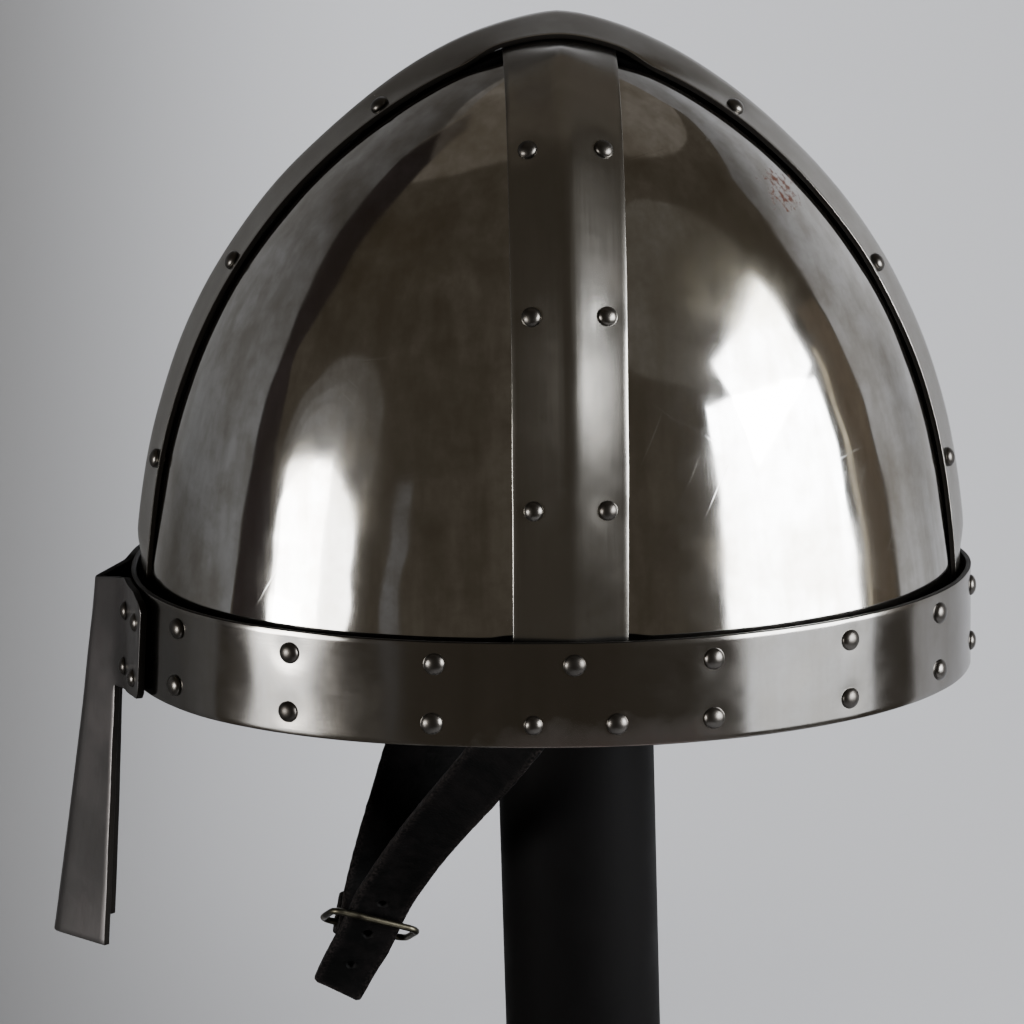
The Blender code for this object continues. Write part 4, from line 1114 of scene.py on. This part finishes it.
def mark_edges(piece, grid):
    """Give the leather a value that rises from 0 to 1 over the last stretch to a cut edge."""
    data = piece.data
    spots = np.empty(len(data.vertices) * 3)
    data.vertices.foreach_get("co", spots)
    spots = spots.reshape(-1, 3)
    edge = np.zeros(len(spots))
    sides = np.concatenate((grid[:, 0], grid[:, -1], grid[0], grid[-1]))
    for start in range(0, len(spots), 2000):
        near = np.linalg.norm(spots[start:start + 2000, None] - sides[None], axis=-1).min(axis=1)
        edge[start:start + 2000] = np.clip(1.0 - (near - LEATHER / 2) / CUT_EDGE_WIDTH, 0.0, 1.0)
    value = data.attributes.new("cut_edge", "FLOAT", "POINT")
    value.data.foreach_set("value", edge)


def punch(piece, path):
    """Punch the row of holes, counted from the free tip. The first stays blind from the back."""
    points = path[0]
    across = buckle_axes()[0]
    cutter = bmesh.new()
    distance = HOLE_START
    for _ in range(HOLE_COUNT):
        left = distance
        for first, second in zip(points[::-1], points[-2::-1]):
            step = (second - first).length
            if left <= step:
                break
            left -= step
        spot = first.lerp(second, left / step)
        facing = (second - first).normalized().cross(across).normalized()
        side_out = -1.0 if facing.y > 0.0 else 1.0
        turn = Vector((0, 0, 1)).rotation_difference(facing).to_matrix().to_4x4()
        if distance == HOLE_START:
            spot = spot + facing * side_out * BLIND_HOLE_RISE
        bmesh.ops.create_cone(
            cutter, cap_ends=True, segments=20, radius1=HOLE_RADIUS, radius2=HOLE_RADIUS,
            depth=4 * LEATHER, matrix=Matrix.Translation(spot) @ turn)
        distance += HOLE_PITCH
    data = bpy.data.meshes.new("punches")
    cutter.to_mesh(data)
    cutter.free()
    tool = new_object("punches", data)
    holes = piece.modifiers.new("holes", "BOOLEAN")
    holes.object, holes.operation, holes.solver = tool, "DIFFERENCE", "EXACT"
    settle(piece)
    bpy.data.objects.remove(tool, do_unlink=True)


def make_buckle(material):
    across, along, _, front_bar, rear_bar = buckle_axes()
    centre = (front_bar + rear_bar) / 2
    half_across, half_along = (BUCKLE_WIDTH - BUCKLE_WIRE) / 2, BUCKLE_SPAN / 2
    ring = []
    for index, (u, v) in enumerate([(1, 1), (-1, 1), (-1, -1), (1, -1)]):
        middle = (centre + across * u * (half_across - BUCKLE_CORNER)
                  + along * v * (half_along - BUCKLE_CORNER))
        for step in range(9):
            turn = math.pi / 2 * (index + step / 8)
            ring.append(middle + (across * math.cos(turn) + along * math.sin(turn)) * BUCKLE_CORNER)
    curve = bpy.data.curves.new("buckle_frame", "CURVE")
    curve.dimensions, curve.bevel_depth, curve.bevel_resolution = "3D", BUCKLE_WIRE / 2, 5
    spline = curve.splines.new("POLY")
    spline.points.add(len(ring) - 1)
    for point, spot in zip(spline.points, ring):
        point.co = (*spot, 1.0)
    spline.use_cyclic_u = True
    wire = new_object("wire", curve)
    graph = bpy.context.evaluated_depsgraph_get()
    data = bpy.data.meshes.new_from_object(wire.evaluated_get(graph), depsgraph=graph)
    bpy.data.objects.remove(wire, do_unlink=True)
    data.name = "buckle_frame"
    keep_piece(new_object("buckle_frame_brass", data), material, ["buckle_frame"])


# ---------------------------------------------------------------- stand

def make_turned(name, outline, material):
    """Turned wood: a half profile swept round the post's axis, with rounded edges."""
    turn = np.linspace(0.0, 2 * math.pi, TURNED_STEPS, endpoint=False)
    radius, height = np.array(outline).T
    grid = stacked(radius[:, None] * np.cos(turn), radius[:, None] * np.sin(turn), height[:, None])
    data = sheet_mesh(name, grid, closed=True, centre=(0, 0, (height.min() + height.max()) / 2))

    def clean(mesh):
        bmesh.ops.dissolve_degenerate(mesh, edges=mesh.edges, dist=1e-7)
        bmesh.ops.recalc_face_normals(mesh, faces=mesh.faces)

    changed(data, clean)
    piece = new_object(name + "_wood", data)
    round_edges(piece, STAND_EDGE, 3, 25)
    keep_piece(settle(piece), material, [name], on_helmet=False)


# ---------------------------------------------------------------- studio

def sweep_profile(run):
    """Reach and height of the backdrop along its run: flat, then a cove, then upright."""
    bend = np.clip((run - SWEEP_FLAT) / SWEEP_COVE, 0.0, math.pi / 2)
    reach = np.minimum(run, SWEEP_FLAT) + SWEEP_COVE * np.sin(bend)
    rise = np.maximum(run - SWEEP_FLAT - SWEEP_COVE * math.pi / 2, 0.0)
    return reach, SWEEP_COVE * (1 - np.cos(bend)) + rise


def make_sweep(paper, cloth):
    """Round floor that turns up into a wall behind the stand. The wall is lower towards its ends, so
    that the helmet mirrors it as in the picture, and a dark cloth hangs beside it on the left."""
    turn = np.linspace(*SWEEP_ENDS, 121)
    top = np.interp(turn, *np.array(SWEEP_TOP).T)
    full = SWEEP_FLAT + SWEEP_COVE * np.arccos(np.clip(1 - top / SWEEP_COVE, 0.0, 1.0))
    full = full + np.maximum(top - SWEEP_COVE, 0.0)
    reach, height = sweep_profile(np.linspace(0.0, 1.0, 41)[:, None] * full[None, :])
    turn = np.radians(turn)[None, :]
    wall = stacked(reach * np.sin(turn), reach * np.cos(turn), height - SWEEP_DROP)
    reach = np.linspace(0.0, FLOOR_REACH, 9)[:, None]
    turn = np.radians(np.linspace(SWEEP_ENDS[1], SWEEP_ENDS[0] + 360, 61))[None, :]
    floor = stacked(reach * np.sin(turn), reach * np.cos(turn), -SWEEP_DROP)
    az, el = np.radians(np.array(CLOTH_EDGES)).transpose(2, 0, 1)
    reach = SWEEP_FLAT + SWEEP_COVE
    hang = stacked(reach * np.sin(az), -reach * np.cos(az), HELMET_MIDDLE + reach * np.tan(el))
    for name, grid, material in (("studio_wall", wall, paper), ("studio_floor", floor, paper),
                                 ("dark_cloth", hang, cloth)):
        piece = new_object(name, sheet_mesh(name, grid, centre=(0, 0, 9.0)))
        piece.data.flip_normals()
        piece.data.materials.append(material)


def soft_box(name, azimuth, elevation, width, height, brightness, tint, shape="RECTANGLE", roll=0.0):
    """Area lamp that hangs in a direction from the helmet. Brightness is the lamp's own, whatever its
    size; roll lifts its far side. The camera doesn't see it."""
    a, e = math.radians(azimuth), math.radians(elevation)
    away = Vector((math.sin(a) * math.cos(e), -math.cos(a) * math.cos(e), math.sin(e)))
    light = bpy.data.lights.new(name, "AREA")
    light.shape, light.size, light.size_y = shape, width, height
    light.color = srgb(tint)[:3]
    light.energy = brightness * math.pi * width * height * (math.pi / 4 if shape == "ELLIPSE" else 1.0)
    lamp = bpy.data.objects.new(name, light)
    lamp.location = Vector((0, 0, HELMET_MIDDLE)) + away * LAMP_DISTANCE
    lamp.rotation_euler = (away.to_track_quat("Z", "Y").to_matrix()
                           @ Matrix.Rotation(math.radians(roll), 3, "Z")).to_euler()
    lamp.visible_camera = False
    bpy.context.scene.collection.objects.link(lamp)


def make_light():
    """Dim brown room round the helmet, plain grey where the camera looks past the stage, and lamps."""
    world = bpy.data.worlds.new("dim_room")
    world.use_nodes = True
    world.node_tree.nodes.clear()
    add = partial(add_node, world.node_tree)
    dim, plain = (add("Background", srgb(tone), 0.60) for tone in ("#6A6256", "#C6C7CA"))
    add("OutputWorld", add("MixShader", add("LightPath", out="Is Camera Ray"), dim, plain))
    bpy.context.scene.world = world
    for lamp in LAMPS:
        soft_box(*lamp)


def make_camera():
    """The photograph's camera."""
    turn, dip, roll = (math.radians(degrees) for degrees in CAMERA_TURNS)
    ahead = Vector((math.sin(turn) * math.cos(dip), math.cos(turn) * math.cos(dip), -math.sin(dip)))
    right = Vector((math.cos(turn), -math.sin(turn), 0))
    up = right.cross(ahead)
    right, up = (right * math.cos(roll) - up * math.sin(roll),
                 right * math.sin(roll) + up * math.cos(roll))
    lens = bpy.data.cameras.new("camera")
    lens.lens, lens.sensor_width = CAMERA_LENS, 36.0
    camera = bpy.data.objects.new("camera", lens)
    camera.matrix_world = (Matrix.Translation(CAMERA_PLACE)
                           @ Matrix((right, up, -ahead)).transposed().to_4x4())
    bpy.context.scene.collection.objects.link(camera)
    bpy.context.scene.camera = camera


# ---------------------------------------------------------------- assembly

def main():
    # Sheet steel dished and ground by hand, then polished: mirror-like with soft haze and fine lines,
    # and a few brown specks of rust high on the rear left panel
    rust = ("#5A2E18", (0.0567, -0.0272, 0.3332), (0.015, 0.02, 0.013), 0.0020, 0.31, 0.09, 0.2, 0.25)
    patina = ("#8F876F", (0.0380, -0.0500, 0.3150), (0.034, 0.04, 0.030), 0.030, 0.80, 0.8, 0.10, 0.0)
    film = ("#8F8672", (-0.0450, -0.0500, 0.3200), (0.040, 0.04, 0.035), 0.014, 0.62, 0.9, 0.07, 0.0)
    panel_steel = worn_steel("polished_mild_steel", "#CDCDCC", "#8E887C", 0.05, 0.12, (0.0006, 0.02),
                             0.000003, 0.5, marks=[patina, film, rust])
    # Strip steel creased over an edge and rubbed along its length: a satin sheen with drawn-out lines
    strap_steel = worn_steel("satin_strip_steel", "#96948F", "#827E77", 0.19, 0.27, (0.0006, 0.020),
                             0.000004, 0.25)
    # Strip steel bent to a hoop and polished: smoother than the straps, with brown stains low down
    damp = ("#3A1808", (0.004, -0.089, 0.194), (0.060, 0.03, 0.019), 0.014, 0.95, 0.9, 0.0, 0.22)
    band_steel = worn_steel("polished_hoop_steel", "#8C8A87", "#78746D", 0.12, 0.21, (0.0005, 0.012),
                            0.000003, 0.12, marks=[damp])
    # Thick plate left as filed: grey and dull
    nasal_steel = worn_steel("filed_plate_steel", "#676564", "#575353", 0.30, 0.44, (0.0005, 0.008),
                             0.000012, 0.3)
    # Round-headed iron rivets, darkened by oil and rubbed brighter on some heads
    rivet_steel = worn_steel("darkened_rivet_iron", "#5C5955", "#302D2A", 0.27, 0.42, (0.0006, 0.0006),
                             0.000003, 0.0)
    leather, brass, black = leather_material(), brass_material(), stand_material()

    for seed, (end, hand) in enumerate((e, h) for e in ("front", "rear") for h in ("left", "right")):
        make_panel(end, hand, panel_steel, 0.37 + 0.53 * seed)
    hollow = CREASE_HEIGHT * (1 - 2 * RIVET_OFFSET / STRAP_WIDTH)
    strap_grip = STRAP_SHEET + STRAP_LEVEL + hollow + PANEL_SHEET + TAIL_SLACK
    for seed, run in enumerate(("crest", "side")):
        places = strap_rivets(run)
        make_strap(run, strap_steel, places)
        make_rivets(run + "_rivets_iron", places, strap_grip, rivet_steel,
                    [f"{run}_rivet_{k + 1:02d}" for k in range(len(places))], seed)
    places = band_rivets()
    make_band(band_steel, places)
    make_rivets("band_rivets_iron", places, BAND_SHEET + TAIL_SLACK, rivet_steel, ["brow_band"], 4,
                BAND_HEAD_RADIUS)
    make_nasal(nasal_steel)
    make_rivets("nasal_rivets_iron", nasal_rivets(), NASAL_SHEET + BAND_SHEET + GAP + TAIL_SLACK / 2,
                rivet_steel, [f"nasal_rivet_{k + 1:02d}" for k in range(8)], 6)
    for seed, (hand, side) in enumerate((("left", -1), ("right", 1))):
        grip = BAND_LEVEL + BAND_SHEET + PANEL_SHEET + CHIN_SLACK + LEATHER
        make_rivets(f"chin_rivet_{hand}_iron", [chin_rivet(side)], grip, rivet_steel,
                    ["chin_rivet_" + hand], 8 + seed)
    for name, path, seed, widen in (("chin_strap_left", left_path(), 31, 0.0),
                                    ("chin_strap_right", right_path(), 41, 1.4)):
        piece, grid = make_chin_strap(name, path, seed, widen)
        if name == "chin_strap_left":
            punch(piece, path)
        mark_edges(piece, grid)
        keep_piece(piece, leather, [name])
    make_buckle(brass)

    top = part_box("stand_post")[1][2]
    shoulder = top - (POST_RADIUS - POST_TOP_RADIUS) * POST_TOP_SLOPE
    foot = BASE_THICKNESS + GAP
    make_turned("stand_post", [
        (0.0, top), (POST_TOP_RADIUS, top), (POST_RADIUS, shoulder), (POST_RADIUS, foot),
        (SPIGOT_RADIUS, foot), (SPIGOT_RADIUS, foot - SPIGOT_LENGTH),
        (0.0, foot - SPIGOT_LENGTH)], black)
    floor = BASE_THICKNESS - SPIGOT_LENGTH - GAP
    make_turned("stand_base", [
        (0.0, floor), (SPIGOT_RADIUS + GAP, floor), (SPIGOT_RADIUS + GAP, BASE_THICKNESS),
        (BASE_RADIUS - BASE_EDGE, BASE_THICKNESS), (BASE_RADIUS, BASE_THICKNESS - BASE_EDGE),
        (BASE_RADIUS, 0.0), (0.0, 0.0)], black)

    make_sweep(wall_material(), cloth_material())
    make_light()
    make_camera()


main()
